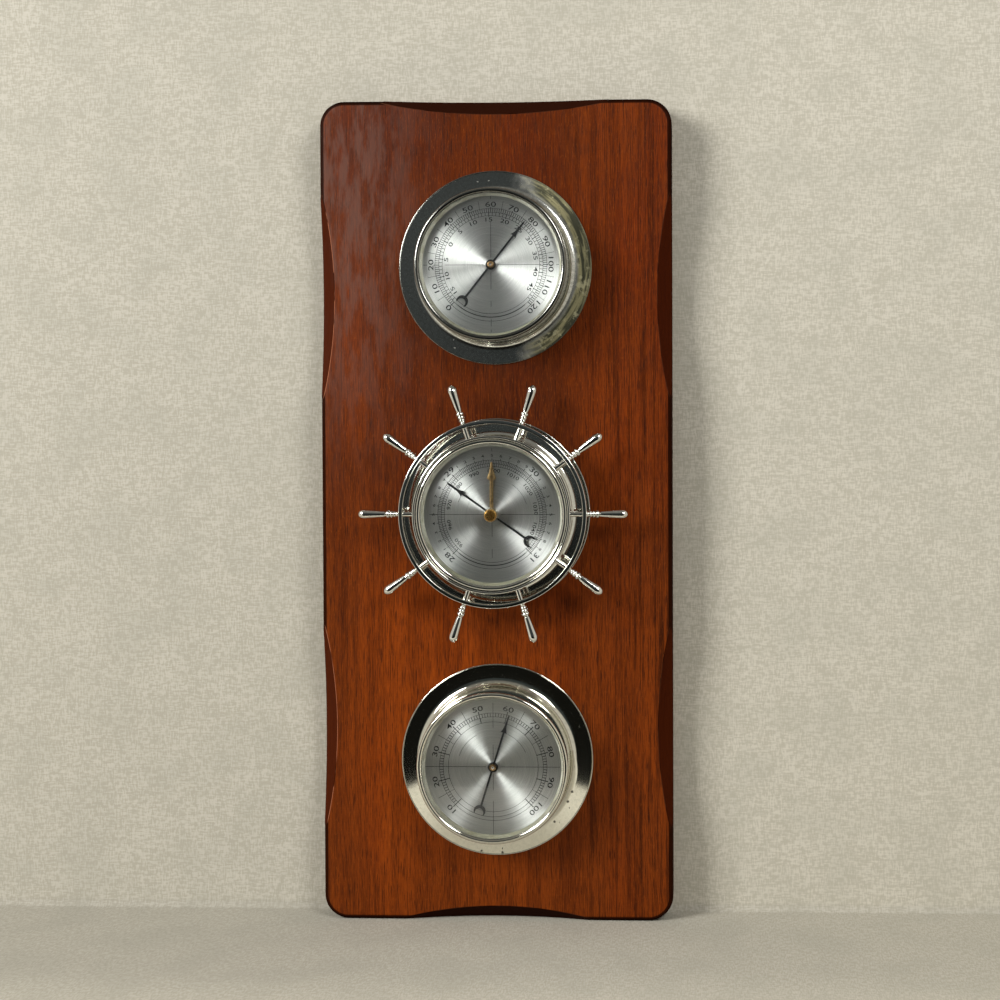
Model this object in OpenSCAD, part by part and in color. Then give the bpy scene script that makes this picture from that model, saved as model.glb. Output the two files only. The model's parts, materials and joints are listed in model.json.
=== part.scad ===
// A wall weather station: a stained plank that carries a dial thermometer, an aneroid barometer
// ringed by a ten-spoke ship's wheel, and a dial hygrometer.
// X runs to the right, Y into the wall and Z up. The origin is the point on the wall plane where
// the nail bears in the top of the keyhole plate.

/* [Plank] */
// Width of the plank
plank_w = 228.6; // [210:0.1:260]
// Height of the plank
plank_h = 533.4; // [480:0.1:600]
// Thickness of the plank
plank_t = 19; // [18:0.5:26]
// Radius of the plank's four corners
corner_r = 16; // [8:0.5:24]
// Radius of the rounded front edge
edge_r = 3; // [1.5:0.5:5]
// How far a scallop reaches in over the front face
scallop_in = 9.4; // [7.5:0.1:11]
// Length of each scallop on the two long sides
side_scallop_l = 131; // [80:1:150]
// Length of the scallop on the top edge
top_scallop_l = 147; // [80:1:155]
// Length of the scallop on the bottom edge
bottom_scallop_l = 119; // [80:1:155]
// Distance of a side scallop's middle from the plank's middle
scallop_z = 140; // [120:1:160]
// Distance from the plank's top edge down to the thermometer's middle
upper_margin = 108.4; // [98:0.1:118]
// Distance from the plank's bottom edge up to the hygrometer's middle
lower_margin = 105.7; // [95:0.1:118]

/* [Bezels] */
// Outer radius of the flange that lies on the plank
flange_r = 62.5; // [60:0.1:66]
// Outer radius of the flange under the wheel
barometer_flange_r = 61; // [59:0.1:63]
// Radius of the rolled bead on the flange's edge
bead_r = 0.5; // [0.5:0.1:1.2]
// Outer radius of the upright wall
wall_r = 48.4; // [47:0.1:50]
// Radius of the cove between flange and wall
cove_r = 5; // [3:0.5:7]
// Height of the bezel's lip above the plank
bezel_h = 27.5; // [27:0.5:34]
// Radius of the rounded lip in front of the glass
lip_r = 1.7; // [1.4:0.1:2]
// Thickness of the spun sheet
sheet_t = 0.8; // [0.6:0.1:1]
// Thickness of the glass
glass_t = 1.5; // [1:0.1:2]
// Height of the sloping ring between glass and dial
spacer_h = 3.3; // [3.2:0.1:4.5]
// Width of the sloping ring where it meets the dial
spacer_w = 4.2; // [3:0.1:5]
// Width of the sloping ring under the glass
spacer_top_w = 2.2; // [1.8:0.1:2.8]

/* [Cases] */
// Thickness of the dial plates
dial_t = 0.8; // [0.5:0.1:1.2]
// Thickness of the case's pressed sheet
case_t = 0.8; // [0.6:0.1:1]
// How far the case's front flange stands out from its drum
case_flange_w = 1.6; // [1.4:0.1:2.5]
// Thickness of the ring that locks the case in the bezel
lock_ring_t = 1.2; // [0.8:0.1:2]
// Gap between a drum and the hole through the plank
hole_gap = 3; // [2.5:0.1:4]
// Width of each spring clip
clip_w = 10; // [6:1:12]
// Thickness of the spring clip's strip
clip_t = 0.5; // [0.3:0.1:0.6]
// Number of vent holes in the back of a case
vents = 8; // [4:1:12]
// Radius of a vent hole
vent_r = 2.5; // [1:0.5:3]

/* [Hands] */
// Length of a black pointer from its axis to its tip
pointer_l = 35; // [32:0.5:40]
// Distance from the axis to the middle of the pointer's crescent tail
tail_l = 29.2; // [24:0.1:33]
// Outer radius of the crescent tail
crescent_r = 3.8; // [3:0.1:4.5]
// Width of the pointer's shank
shank_w = 1.3; // [0.8:0.1:1.6]
// Thickness of pointers and set hand
blade_t = 0.4; // [0.2:0.1:0.5]
// Gap from dial to pointer
pointer_lift = 0.9; // [0.8:0.1:1]
// Radius of the turning arbors
arbor_r = 0.6; // [0.4:0.05:0.6]
// Length of the brass set hand
set_hand_l = 33.6; // [28:0.1:40]
// Radius of the brass set knob
knob_r = 4; // [3:0.1:5]
// Height of the brass set knob above its washer
knob_h = 5.2; // [4:0.1:8]
// Reading of the thermometer at rest, in degrees clockwise from the top
thermometer_angle = 38.4; // [-135:0.1:135]
// Reading of the barometer at rest, in degrees clockwise from the top
barometer_angle = -54.6; // [-135:0.1:135]
// Reading of the hygrometer at rest, in degrees clockwise from the top
hygrometer_angle = 17.3; // [-135:0.1:135]

/* [Wheel] */
// Number of spokes
spokes = 10; // [6:1:12]
// Radius of a spoke's shaft
spoke_r = 1.7; // [1.3:0.1:1.9]
// Outer radius of the wheel's rim
rim_r = 60.2; // [58:0.1:64]
// Width of the rim seen from the front
rim_w = 2.8; // [2.4:0.1:4]
// Depth of the rim from front to back
rim_d = 6; // [5:0.1:8]
// Height of the rim's front above the plank
rim_h = 21; // [17:0.1:24]
// Wall of the ring that fits round the bezel
nave_t = 1.7; // [1.4:0.1:2]
// Length of a handle outside the rim
handle_l = 26; // [24:0.1:32]
// Largest radius of a handle's grip
grip_r = 3.1; // [2.6:0.1:3.4]

/* [Movements] */
// Width of the bimetal coil's strip
coil_w = 4; // [2:0.5:5]
// Outer radius of the coils
coil_r = 13; // [10:0.5:14]
// Turns of the thermometer's bimetal coil
bimetal_turns = 6; // [3:1:8]
// Turns of the hygrometer's humidity coil
humidity_turns = 4; // [3:1:6]
// Radius of the aneroid capsule
capsule_r = 18; // [14:0.5:19]
// Height of the aneroid capsule
capsule_h = 6; // [5:0.5:6.5]
// Radius of the barometer's base plate
base_r = 34; // [34:0.5:38]
// Distance from the main spring's bend line to the link
lever_l = 48; // [47.5:0.5:48.5]
// Length of the rocker's short arm, from its axis to the link
short_arm_l = 4; // [3.5:0.5:4.5]
// Length of the rocker's upright arm, from its axis to the chain
chain_arm_l = 12; // [11.5:0.5:12.5]
// Radius at which the chain winds on the arbor
drum_pitch_r = 0.8; // [0.8:0.05:0.9]
// Radius of the adjusting screw's shank
adjuster_r = 2; // [1.5:0.1:2.4]

/* [Keyhole plate] */
// Width of the keyhole plate
plate_w = 24; // [23:0.5:26]
// Height of the keyhole plate
plate_l = 46; // [44:0.5:48]
// Thickness of the keyhole plate
plate_t = 1.5; // [1:0.1:2]
// Radius of the keyhole's round entry
entry_r = 6; // [5.6:0.1:6.4]
// Half the width of the keyhole's slot
slot_r = 2.5; // [2.2:0.1:3]
// Depth of the pocket behind the keyhole, from the plank's back
pocket_d = 9.5; // [8:0.5:12]

/* [Hidden] */

// Gaps: round a fixed piece, round a turning one, and between a loose fit's faces
fit_gap = 0.03;
run_gap = 0.05;
loose_gap = 0.3;

// Facets of true rounds
fine = 96;
round_steps = 8;

// Radii inside a bezel
bore_r = wall_r - sheet_t;
seat_r = bore_r - 0.2;
drum_r = bore_r - case_flange_w;
hole_r = drum_r + hole_gap;
bush_r = 2.2;
bush_flange_r = 3.4;
bush_flange_t = 1.6;
hub_r = 2.4;
hub_h = 1.1;
hub_ring_r = 3.2;

// The keyhole plate sits halfway between the plank's top edge and the thermometer's hole, and
// the nail at the top of its slot is the origin
entry_drop = 9;
plate_z = -entry_drop / 2;
plank_top = plate_z + (upper_margin - hole_r) / 2;
plank_z = plank_top - plank_h / 2;
thermometer_z = plank_top - upper_margin;
barometer_z = plank_z;
hygrometer_z = plank_top - plank_h + lower_margin;

// Levels in front of the plank's face
hand_boss_h = 0.9;
hand_gap = 0.2;
glass_z = bezel_h - lip_r - glass_t;
dial_z = glass_z - spacer_h;
dial_back = dial_z - dial_t;
lip_back = dial_back - case_t;
blade_z = dial_z + pointer_lift;
hand_z = glass_z - hand_gap - hand_boss_h;

// Parts of the barometer's movement that set how deep the cases are
base_t = 1.4;
boss_h = 0.6;
spring_lift = 2.2;
leaf_t = 1.2;
rocker_lift = 2.8;
chain_w = 1;
chain_play = 0.2;
drum_flange_t = 0.4;
drum_gap = 1.5;
movement_h = base_t + boss_h + capsule_h + spring_lift + leaf_t + rocker_lift + chain_arm_l
    + chain_w / 2 + chain_play + drum_flange_t;
case_floor = dial_back - bush_flange_t - drum_gap - movement_h;
case_sink = case_t - case_floor;

// Coil movement of thermometer and hygrometer, hung from the dial's back
bridge_t = 1;
bridge_w = 6;
bridge_gap = 12;
bridge_z = dial_back - bridge_gap;
post_r = 1;
leg_x = coil_r + 2 * post_r + 3;
foot_l = 4;
coil_z = bridge_z + 3;
coil_t = 0.4;
collet_r = 2;

// Barometer movement, standing on the case's floor
base_top = case_floor + base_t;
boss_r = 2.5;
capsule_z = base_top + boss_h;
capsule_top = capsule_z + capsule_h;
leaf_w = 14;
leaf_z = capsule_top + spring_lift;
leaf_end = 5;
spring_bend_x = -capsule_r - 10;
spring_r = (leaf_z + leaf_t - base_top) / 2;
foot_end = -capsule_r - 1;
foot_screw_x = (spring_bend_x + foot_end) / 2;
stud_r = 1.2;
stud_head_r = 2.2;
lever_t = 1;
lever_z = leaf_z + leaf_t;
pivot_x = spring_bend_x + 4;
link_x = pivot_x + lever_l;
link_r = 0.25;
link_bead_r = 0.8;
rocker_x = link_x + short_arm_l;
rocker_z = lever_z + rocker_lift;
arm_t = 0.8;
rocker_r = 0.9;
rocker_body_r = 1.4;
rocker_y = 10;
rocker_post_t = 1.5;
rocker_post_w = 5;
chain_z = rocker_z + chain_arm_l;
chain_t = 0.3;
chain_pin_r = 0.3;
chain_eye_r = 1.15;
chain_gap = 0.4;
drum_core_r = drum_pitch_r - chain_t / 2 - fit_gap;
drum_flange_r = 1.8;
bar_z = rocker_z + 4;
bar_t = 1.4;
bar_w = 10;
bar_disc_r = 9;
pillar_y = capsule_r + 8;
pillar_r = 3;
screw_r = 1.2;
screw_head_r = 2.4;
screw_head_h = 1.2;
hair_z = bar_z + bar_t + 1.4;
hair_w = 0.8;
hair_t = 0.2;
hair_collet_r = 1.2;
hair_r = 5.5;
hair_turns = 5;
hair_post_r = 0.5;
case_screw_r = base_r - 4;
case_screw_angles = [40, 140, 250];
adjuster_head_r = 3.6;
adjuster_head_h = 1.4;

// Wheel
nave_r = wall_r + run_gap;
nave_h = bezel_h + 0.4;
spoke_z = rim_h - rim_d / 2;
spoke_in = nave_r + 0.4;
collar_r = 2.6;
neck_r = 1.6;

// Keyhole plate, with its screws above and below the keyhole
plate_screw_z = plate_l / 2 - 6;
plate_screw_r = 1.7;
plate_head_r = 3.3;
plate_screw_l = 14;
plate_slot_w = 0.8;
plate_slot_d = 0.6;
pocket_r = entry_r + 3;

// Knob
shaft_r = 1.5;
washer_r = 4.8;
washer_t = 0.6;
washer_z = bezel_h - lip_r;

brass = [0.72, 0.55, 0.27];
chrome = [0.8, 0.81, 0.8];
steel = [0.55, 0.56, 0.57];
black = [0.08, 0.08, 0.08];

// Moves a shape that is drawn flat, with its front facing up, on to the wall or the plank's face
module from_wall(z) {
    translate([0, 0, z]) rotate([90, 0, 0]) children();
}

module from_face(z) {
    from_wall(z) translate([0, 0, plank_t]) children();
}

// Turns a hand clockwise, as it is read from the front
module clockwise(a) {
    rotate([0, 0, -a]) children();
}

function arc(c, r, a0, a1, n) =
    [for (i = [0:n]) let (a = a0 + (a1 - a0) * i / n) [c[0] + r * cos(a), c[1] + r * sin(a)]];

function reversed(list) = [for (i = [len(list) - 1:-1:0]) list[i]];

// A flat spiral from r0 to r1
function spiral(r0, r1, turns, n) =
    [for (i = [0:n * turns])
        let (a = 360 * i / n, r = r0 + (r1 - r0) * i / (n * turns)) [r * cos(a), r * sin(a)]];

module spiral_strip(r0, r1, turns, t, w) {
    linear_extrude(w)
        polygon(concat(spiral(r0 - t / 2, r1 - t / 2, turns, 24),
            reversed(spiral(r0 + t / 2, r1 + t / 2, turns, 24))));
}

module obround(r, l) {
    square([2 * r, l - 2 * r], center = true);
    for (s = [-1, 1])
        translate([0, s * (l / 2 - r)]) circle(r, $fn = fine);
}

module rounded_rect(w, h, r) {
    square([w - 2 * r, h], center = true);
    square([w, h - 2 * r], center = true);
    for (x = [-1, 1], y = [-1, 1])
        translate([x * (w / 2 - r), y * (h / 2 - r)]) circle(r, $fn = 32);
}

// Plank

module plank_outline() {
    square([plank_w - 2 * corner_r, plank_h], center = true);
    square([plank_w, plank_h - 2 * corner_r], center = true);
    for (x = [-1, 1], y = [-1, 1])
        translate([x * (plank_w / 2 - corner_r), y * (plank_h / 2 - corner_r)])
            circle(corner_r, $fn = fine);
}

// What a rounded edge takes away, with the square corner at the origin
module edge_profile() {
    difference() {
        translate([-edge_r, -edge_r]) square(edge_r + 1);
        translate([-edge_r, -edge_r]) circle(edge_r, $fn = fine);
    }
}

module plank_body() {
    difference() {
        linear_extrude(plank_t) plank_outline();
        for (a = [0, 180]) {
            rotate([0, 0, a])
                translate([plank_w / 2, 0, plank_t])
                    rotate([90, 0, 0])
                        linear_extrude(plank_h - 2 * corner_r, center = true) edge_profile();
            rotate([0, 0, a])
                translate([0, plank_h / 2, plank_t])
                    rotate([0, 0, 90])
                        rotate([90, 0, 0])
                            linear_extrude(plank_w - 2 * corner_r, center = true) edge_profile();
        }
        for (i = [0:3]) {
            x = (i == 0 || i == 3) ? 1 : -1;
            y = i < 2 ? 1 : -1;
            translate([x * (plank_w / 2 - corner_r), y * (plank_h / 2 - corner_r), plank_t])
                rotate([0, 0, 90 * i])
                    rotate_extrude(angle = 90, $fn = fine)
                        translate([corner_r, 0]) edge_profile();
        }
    }
}

// A scallop is cut by a large cylinder that lies across the front edge at 45 degrees. The cutter
// is drawn for an edge on the right, with the square corner at the origin.
module scallop_cutter(l) {
    deep = scallop_in / sqrt(2);
    rise = deep - edge_r * (sqrt(2) - 1);
    r = (l * l / 4 + rise * rise) / (2 * rise);
    off = (r - deep) / sqrt(2);
    translate([off, 0, off])
        rotate([0, 135, 0])
            cylinder(r = r, h = 3 * plank_t, center = true, $fn = 720);
}

module scallop_cuts() {
    for (s = [-1, 1]) {
        translate([plank_w / 2, s * scallop_z, plank_t]) scallop_cutter(side_scallop_l);
        translate([-plank_w / 2, s * scallop_z, plank_t])
            rotate([0, 0, 180]) scallop_cutter(side_scallop_l);
    }
    translate([0, plank_h / 2, plank_t]) rotate([0, 0, 90]) scallop_cutter(top_scallop_l);
    translate([0, -plank_h / 2, plank_t]) rotate([0, 0, -90]) scallop_cutter(bottom_scallop_l);
}

module plate_recess() {
    linear_extrude(plate_t) obround(plate_w / 2, plate_l);
}

module nail_pocket() {
    linear_extrude(pocket_d) obround(pocket_r, 2 * pocket_r + entry_drop);
}

module backboard() {
    color([0.42, 0.17, 0.07])
        difference() {
            from_wall(plank_z)
                difference() {
                    plank_body();
                    scallop_cuts();
                }
            for (z = [thermometer_z, barometer_z, hygrometer_z])
                from_wall(z)
                    translate([0, 0, -1]) cylinder(r = hole_r, h = plank_t + 2, $fn = 2 * fine);
            from_wall(plate_z) {
                plate_recess();
                nail_pocket();
                for (s = [-1, 1])
                    translate([0, s * plate_screw_z, 0])
                        cylinder(r = plate_screw_r + fit_gap, h = plate_screw_l + 1, $fn = 48);
            }
        }
}

// Keyhole plate

module keyhole_plate() {
    color(steel)
        from_wall(plate_z)
            difference() {
                linear_extrude(plate_t)
                    obround(plate_w / 2 - run_gap, plate_l - 2 * run_gap);
                translate([0, -entry_drop / 2, -1])
                    cylinder(r = entry_r, h = plate_t + 2, $fn = fine);
                translate([0, entry_drop / 2, -1])
                    cylinder(r = slot_r, h = plate_t + 2, $fn = fine);
                translate([-slot_r, -entry_drop / 2, -1])
                    cube([2 * slot_r, entry_drop, plate_t + 2]);
                for (s = [-1, 1])
                    translate([0, s * plate_screw_z, 0]) screw_sink(fit_gap);
            }
}

// The countersunk shape of a plate screw, head towards the wall, grown by a gap
module screw_sink(gap) {
    rotate_extrude($fn = 48)
        polygon([[0, 0], [plate_head_r + gap, 0], [plate_screw_r + gap, plate_t],
            [plate_screw_r + gap, plate_screw_l], [0, plate_screw_l]]);
}

module keyhole_screws() {
    color(brass)
        from_wall(plate_z)
            for (s = [-1, 1])
                translate([0, s * plate_screw_z, 0])
                    difference() {
                        screw_sink(0);
                        cube([plate_slot_w, 3 * plate_head_r, 2 * plate_slot_d], center = true);
                    }
}

// Shells of an instrument

module bezel(outer_r = flange_r) {
    cove = [wall_r + cove_r, sheet_t + cove_r];
    lip = [wall_r - lip_r, bezel_h - lip_r];
    edge = outer_r - bead_r;
    color(chrome)
        rotate_extrude($fn = 2 * fine)
            polygon(concat(
                arc(cove, cove_r + sheet_t, 270, 180, round_steps),
                arc(lip, lip_r - sheet_t, 0, 180, round_steps),
                arc(lip, lip_r, 180, 0, 2 * round_steps),
                arc(cove, cove_r, 180, 270, round_steps),
                arc([edge, bead_r], bead_r, 180 - asin(sheet_t / bead_r - 1), -90, 2 * round_steps)));
}

module glass(hole) {
    color([0.85, 0.9, 0.9, 0.3])
        translate([0, 0, glass_z])
            difference() {
                cylinder(r = seat_r, h = glass_t, $fn = 2 * fine);
                if (hole > 0)
                    translate([0, 0, -1]) cylinder(r = hole, h = glass_t + 2, $fn = 48);
            }
}

module spacer_ring() {
    color([0.78, 0.76, 0.62])
        rotate_extrude($fn = 2 * fine)
            polygon([[seat_r - spacer_w, dial_z], [seat_r, dial_z], [seat_r, glass_z],
                [seat_r - spacer_top_w, glass_z]]);
}

module dial() {
    color([0.74, 0.75, 0.74])
        translate([0, 0, dial_back])
            difference() {
                cylinder(r = seat_r, h = dial_t, $fn = 2 * fine);
                translate([0, 0, -1]) cylinder(r = bush_r + fit_gap, h = dial_t + 2, $fn = 48);
            }
}

// The drum with its floor, front flange and vents
module case_drum() {
    rotate_extrude($fn = 2 * fine)
        polygon([[0, -case_sink], [drum_r, -case_sink], [drum_r, lip_back], [seat_r, lip_back],
            [seat_r, dial_back], [drum_r - case_t, dial_back], [drum_r - case_t, case_floor],
            [0, case_floor]]);
}

module case_shell() {
    color([0.6, 0.6, 0.58])
        difference() {
            case_drum();
            for (i = [0:vents - 1])
                rotate([0, 0, 360 * (i + 0.5) / vents])
                    translate([drum_r - case_t - 2 * vent_r - 1, 0, -case_sink - 1])
                        cylinder(r = vent_r, h = case_t + 2, $fn = 32);
            children();
        }
}

module lock_ring() {
    color(steel)
        translate([0, 0, lip_back - lock_ring_t])
            difference() {
                cylinder(r = bore_r - fit_gap, h = lock_ring_t, $fn = 2 * fine);
                translate([0, 0, -1])
                    cylinder(r = drum_r + fit_gap, h = lock_ring_t + 2, $fn = 2 * fine);
            }
}

// Three bowed leaves that grip the hole in the plank
module spring_clips() {
    bow = sqrt(hole_r * hole_r - clip_w * clip_w / 4) - drum_r - clip_t - loose_gap / 3;
    l = case_sink - 1;
    color(steel)
        for (a = [90, 210, 330])
            rotate([0, 0, a])
                translate([drum_r + fit_gap, clip_w / 2, -case_sink + 0.5])
                    rotate([90, 0, 0])
                        linear_extrude(clip_w)
                            polygon(concat(
                                [for (i = [0:8]) [bow * sin(180 * i / 8), l * i / 8]],
                                [for (i = [8:-1:0]) [clip_t + bow * sin(180 * i / 8), l * i / 8]]));
}

// Bearing that is pressed into the dial and carries the front of the arbor
module bush() {
    color(brass)
        difference() {
            rotate_extrude($fn = 48)
                polygon([[0, dial_back - bush_flange_t], [bush_flange_r, dial_back - bush_flange_t],
                    [bush_flange_r, dial_back], [bush_r, dial_back], [bush_r, dial_z + 0.3],
                    [0, dial_z + 0.3]]);
            translate([0, 0, dial_back - bush_flange_t - 1])
                cylinder(r = arbor_r + run_gap, h = bush_flange_t + dial_t + 3, $fn = 48);
        }
}

// Hands, drawn at twelve o'clock

module pointer_outline() {
    head = 0.65 * pointer_l;
    neck = 0.75 * pointer_l;
    polygon([[-shank_w / 2, -tail_l + crescent_r - 0.6], [shank_w / 2, -tail_l + crescent_r - 0.6],
        [shank_w / 2, head + 0.4], [2.3, head - 0.5], [2.1, head + 0.4], [1.2, head + 1.7],
        [0.8, neck], [0.55, pointer_l - 1.5], [0, pointer_l],
        [-0.55, pointer_l - 1.5], [-0.8, neck], [-1.2, head + 1.7], [-2.1, head + 0.4],
        [-2.3, head - 0.5], [-shank_w / 2, head + 0.4]]);
    translate([0, -tail_l])
        difference() {
            circle(crescent_r, $fn = 48);
            translate([0, -1.15]) circle(crescent_r - 1.05, $fn = 48);
            polygon([[0, 0], [2 * crescent_r, -1.4 * crescent_r], [0, -3 * crescent_r],
                [-2 * crescent_r, -1.4 * crescent_r]]);
        }
}

module pointer_blade(ring_r) {
    color(black)
        translate([0, 0, blade_z])
            difference() {
                linear_extrude(blade_t) {
                    pointer_outline();
                    circle(ring_r, $fn = 48);
                }
                translate([0, 0, -1]) cylinder(r = arbor_r + fit_gap, h = blade_t + 2, $fn = 48);
            }
}

// Brass boss that is pressed on the arbor over the pointer
module pointer_hub() {
    z = blade_z + blade_t;
    color(brass)
        difference() {
            rotate_extrude($fn = 48)
                polygon([[0, z], [hub_r, z], [hub_r, z + 0.4], [hub_r - 0.5, z + 0.9],
                    [hub_r - 1.2, z + hub_h], [0, z + hub_h]]);
            translate([0, 0, z - 1]) cylinder(r = arbor_r + fit_gap, h = hub_h + 2, $fn = 48);
        }
}

// Coil movement

module coil_arbor() {
    z0 = bridge_z - 0.4;
    color(brass)
        rotate_extrude($fn = 48)
            polygon([[0, z0], [arbor_r, z0], [arbor_r, coil_z - 1], [collet_r, coil_z - 1],
                [collet_r, coil_z + coil_w + 0.5], [arbor_r, coil_z + coil_w + 0.5],
                [arbor_r, blade_z + blade_t + hub_h], [0, blade_z + blade_t + hub_h]]);
}

module coil(turns) {
    translate([0, 0, coil_z])
        spiral_strip(collet_r + coil_t / 2 + fit_gap, coil_r, turns, coil_t, coil_w);
}

// Bracket on the dial's back, with the rear bearing and the post that holds the coil's outer end
module coil_bridge() {
    post_x = coil_r + coil_t / 2 + post_r + fit_gap;
    color(brass) {
        difference() {
            union() {
                translate([-leg_x, -bridge_w / 2, bridge_z]) cube([2 * leg_x, bridge_w, bridge_t]);
                for (s = [-1, 1]) {
                    translate([s * (leg_x - bridge_t / 2), 0, bridge_z + bridge_gap / 2])
                        cube([bridge_t, bridge_w, bridge_gap], center = true);
                    translate([s * (leg_x + foot_l / 2 - bridge_t / 2), 0, dial_back - bridge_t / 2])
                        cube([foot_l + bridge_t, bridge_w, bridge_t], center = true);
                }
            }
            translate([0, 0, bridge_z - 1])
                cylinder(r = arbor_r + run_gap, h = bridge_t + 2, $fn = 48);
        }
        translate([post_x, 0, bridge_z + bridge_t / 2])
            cylinder(r = post_r, h = coil_z + coil_w - bridge_z, $fn = 32);
    }
}

// Barometer hands and arbor

module set_hand_outline() {
    w = 1;
    polygon([[-w, 0], [w, 0], [w, 0.64 * set_hand_l], [2.8, 0.68 * set_hand_l],
        [2.5, 0.73 * set_hand_l], [1.5, 0.79 * set_hand_l], [w, 0.82 * set_hand_l],
        [0.8, set_hand_l], [-0.8, set_hand_l], [-w, 0.82 * set_hand_l], [-1.5, 0.79 * set_hand_l],
        [-2.5, 0.73 * set_hand_l], [-2.8, 0.68 * set_hand_l], [-w, 0.64 * set_hand_l]]);
}

module set_hand() {
    color(brass)
        from_face(barometer_z)
            difference() {
                union() {
                    translate([0, 0, hand_z]) linear_extrude(blade_t) set_hand_outline();
                    translate([0, 0, hand_z]) cylinder(r = shaft_r + 1, h = hand_boss_h, $fn = 48);
                }
                translate([0, 0, hand_z - 1]) cylinder(r = shaft_r + fit_gap, h = 3, $fn = 48);
            }
}

module set_knob() {
    z = washer_z + washer_t;
    color(brass)
        from_face(barometer_z) {
            difference() {
                rotate_extrude($fn = 64)
                    polygon([[0, z], [knob_r - 0.5, z], [knob_r, z + 0.6], [knob_r, z + knob_h - 0.8],
                        [knob_r - 0.8, z + knob_h], [0, z + knob_h]]);
                for (i = [0:17])
                    rotate([0, 0, 20 * i])
                        translate([knob_r + 0.1, 0, z - 1]) cylinder(r = 0.35, h = knob_h + 2, $fn = 16);
            }
            translate([0, 0, hand_z]) cylinder(r = shaft_r, h = z + 1 - hand_z, $fn = 48);
        }
}

module knob_washer() {
    color([0.9, 0.9, 0.86, 0.6])
        from_face(barometer_z)
            translate([0, 0, washer_z])
                difference() {
                    cylinder(r = washer_r, h = washer_t, $fn = 64);
                    translate([0, 0, -1]) cylinder(r = shaft_r + fit_gap, h = washer_t + 2, $fn = 48);
                }
}

module barometer_arbor() {
    top = blade_z + blade_t + 0.3;
    drum_lo = chain_z - chain_w / 2 - chain_play;
    drum_hi = chain_z + chain_w / 2 + chain_play;
    color(steel)
        from_face(barometer_z)
            rotate_extrude($fn = 48)
                polygon([[0, bar_z - 0.4], [arbor_r, bar_z - 0.4],
                    [arbor_r, bar_z + bar_t + 0.2], [hair_collet_r, bar_z + bar_t + 0.2],
                    [hair_collet_r, hair_z + hair_w + 0.3], [arbor_r, hair_z + hair_w + 0.3],
                    [arbor_r, drum_lo - drum_flange_t], [drum_flange_r, drum_lo - drum_flange_t],
                    [drum_flange_r, drum_lo], [drum_core_r, drum_lo], [drum_core_r, drum_hi],
                    [drum_flange_r, drum_hi], [drum_flange_r, drum_hi + drum_flange_t],
                    [arbor_r, drum_hi + drum_flange_t], [arbor_r, top], [0, top]]);
}

module barometer_hairspring() {
    color([0.35, 0.4, 0.5])
        from_face(barometer_z)
            translate([0, 0, hair_z])
                spiral_strip(hair_collet_r + hair_t / 2 + fit_gap, hair_r, hair_turns, hair_t, hair_w);
}

// Wheel

module wheel_nave() {
    back = rim_h - rim_d;
    color(chrome)
        from_face(barometer_z)
            difference() {
                rotate_extrude($fn = 2 * fine) {
                    translate([nave_r, back]) square([nave_t, nave_h - nave_t / 2 - back]);
                    translate([nave_r + nave_t / 2, nave_h - nave_t / 2]) circle(nave_t / 2, $fn = 32);
                }
                spoke_holes(nave_r - 1);
            }
}

module wheel_rim() {
    color(chrome)
        from_face(barometer_z)
            difference() {
                rotate_extrude($fn = 2 * fine)
                    translate([rim_r - rim_w / 2, spoke_z]) rounded_rect(rim_w, rim_d, 0.6);
                spoke_holes(rim_r - rim_w - 1);
            }
}

module spoke_holes(from_r) {
    for (i = [0:spokes - 1])
        rotate([0, 0, 360 * i / spokes])
            translate([from_r, 0, spoke_z])
                rotate([0, 90, 0]) cylinder(r = spoke_r + fit_gap, h = rim_w + nave_t + 2, $fn = 32);
}

// A bulge on the handle, half as long as it says on each side of its middle
function bead(at, r, half) =
    [for (i = [0:6]) [neck_r + (r - neck_r) * sin(30 * i), rim_r + at - half * cos(30 * i)]];

// One turned spoke: its shaft, collar, beads, grip and rounded tip, as radius and distance out
function spoke_profile() =
    let (root = 9, tip_l = 4.4, tip_at = rim_r + handle_l - tip_l, root_r = 2)
    concat(
        [[0, spoke_in], [spoke_r, spoke_in], [spoke_r, rim_r], [collar_r, rim_r]],
        [for (i = [1:4]) [neck_r + (collar_r - neck_r) * pow(1 - i / 4, 2), rim_r + 0.42 * i]],
        bead(2.6, 2.15, 0.75), bead(4.6, 2.35, 0.95), bead(6.9, 2.65, 1.1),
        [for (i = [0:5]) [root_r + (grip_r - root_r) * i / 5,
            rim_r + root + (tip_at - rim_r - root) * i / 5]],
        [for (i = [1:6]) [grip_r * cos(15 * i), tip_at + tip_l * sin(15 * i)]]);

module wheel_spokes() {
    color(chrome)
        from_face(barometer_z)
            for (i = [0:spokes - 1])
                rotate([0, 0, 360 * i / spokes])
                    translate([0, 0, spoke_z])
                        rotate([0, 90, 0]) rotate_extrude($fn = 48) polygon(spoke_profile());
}

// Barometer movement

module base_plate() {
    color(brass)
        from_face(barometer_z)
            difference() {
                translate([0, 0, case_floor]) cylinder(r = base_r, h = base_t, $fn = fine);
                translate([0, 0, case_floor - 1])
                    cylinder(r = adjuster_r + run_gap, h = base_t + 2, $fn = 48);
                case_screw_shanks(fit_gap);
            }
}

module bridge_pillars() {
    color(brass)
        from_face(barometer_z)
            for (s = [-1, 1])
                translate([0, s * pillar_y, base_top])
                    difference() {
                        cylinder(r = pillar_r, h = bar_z - base_top, $fn = 32);
                        translate([0, 0, bar_z - base_top - 5])
                            cylinder(r = screw_r + fit_gap, h = 6, $fn = 32);
                    }
}

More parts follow.
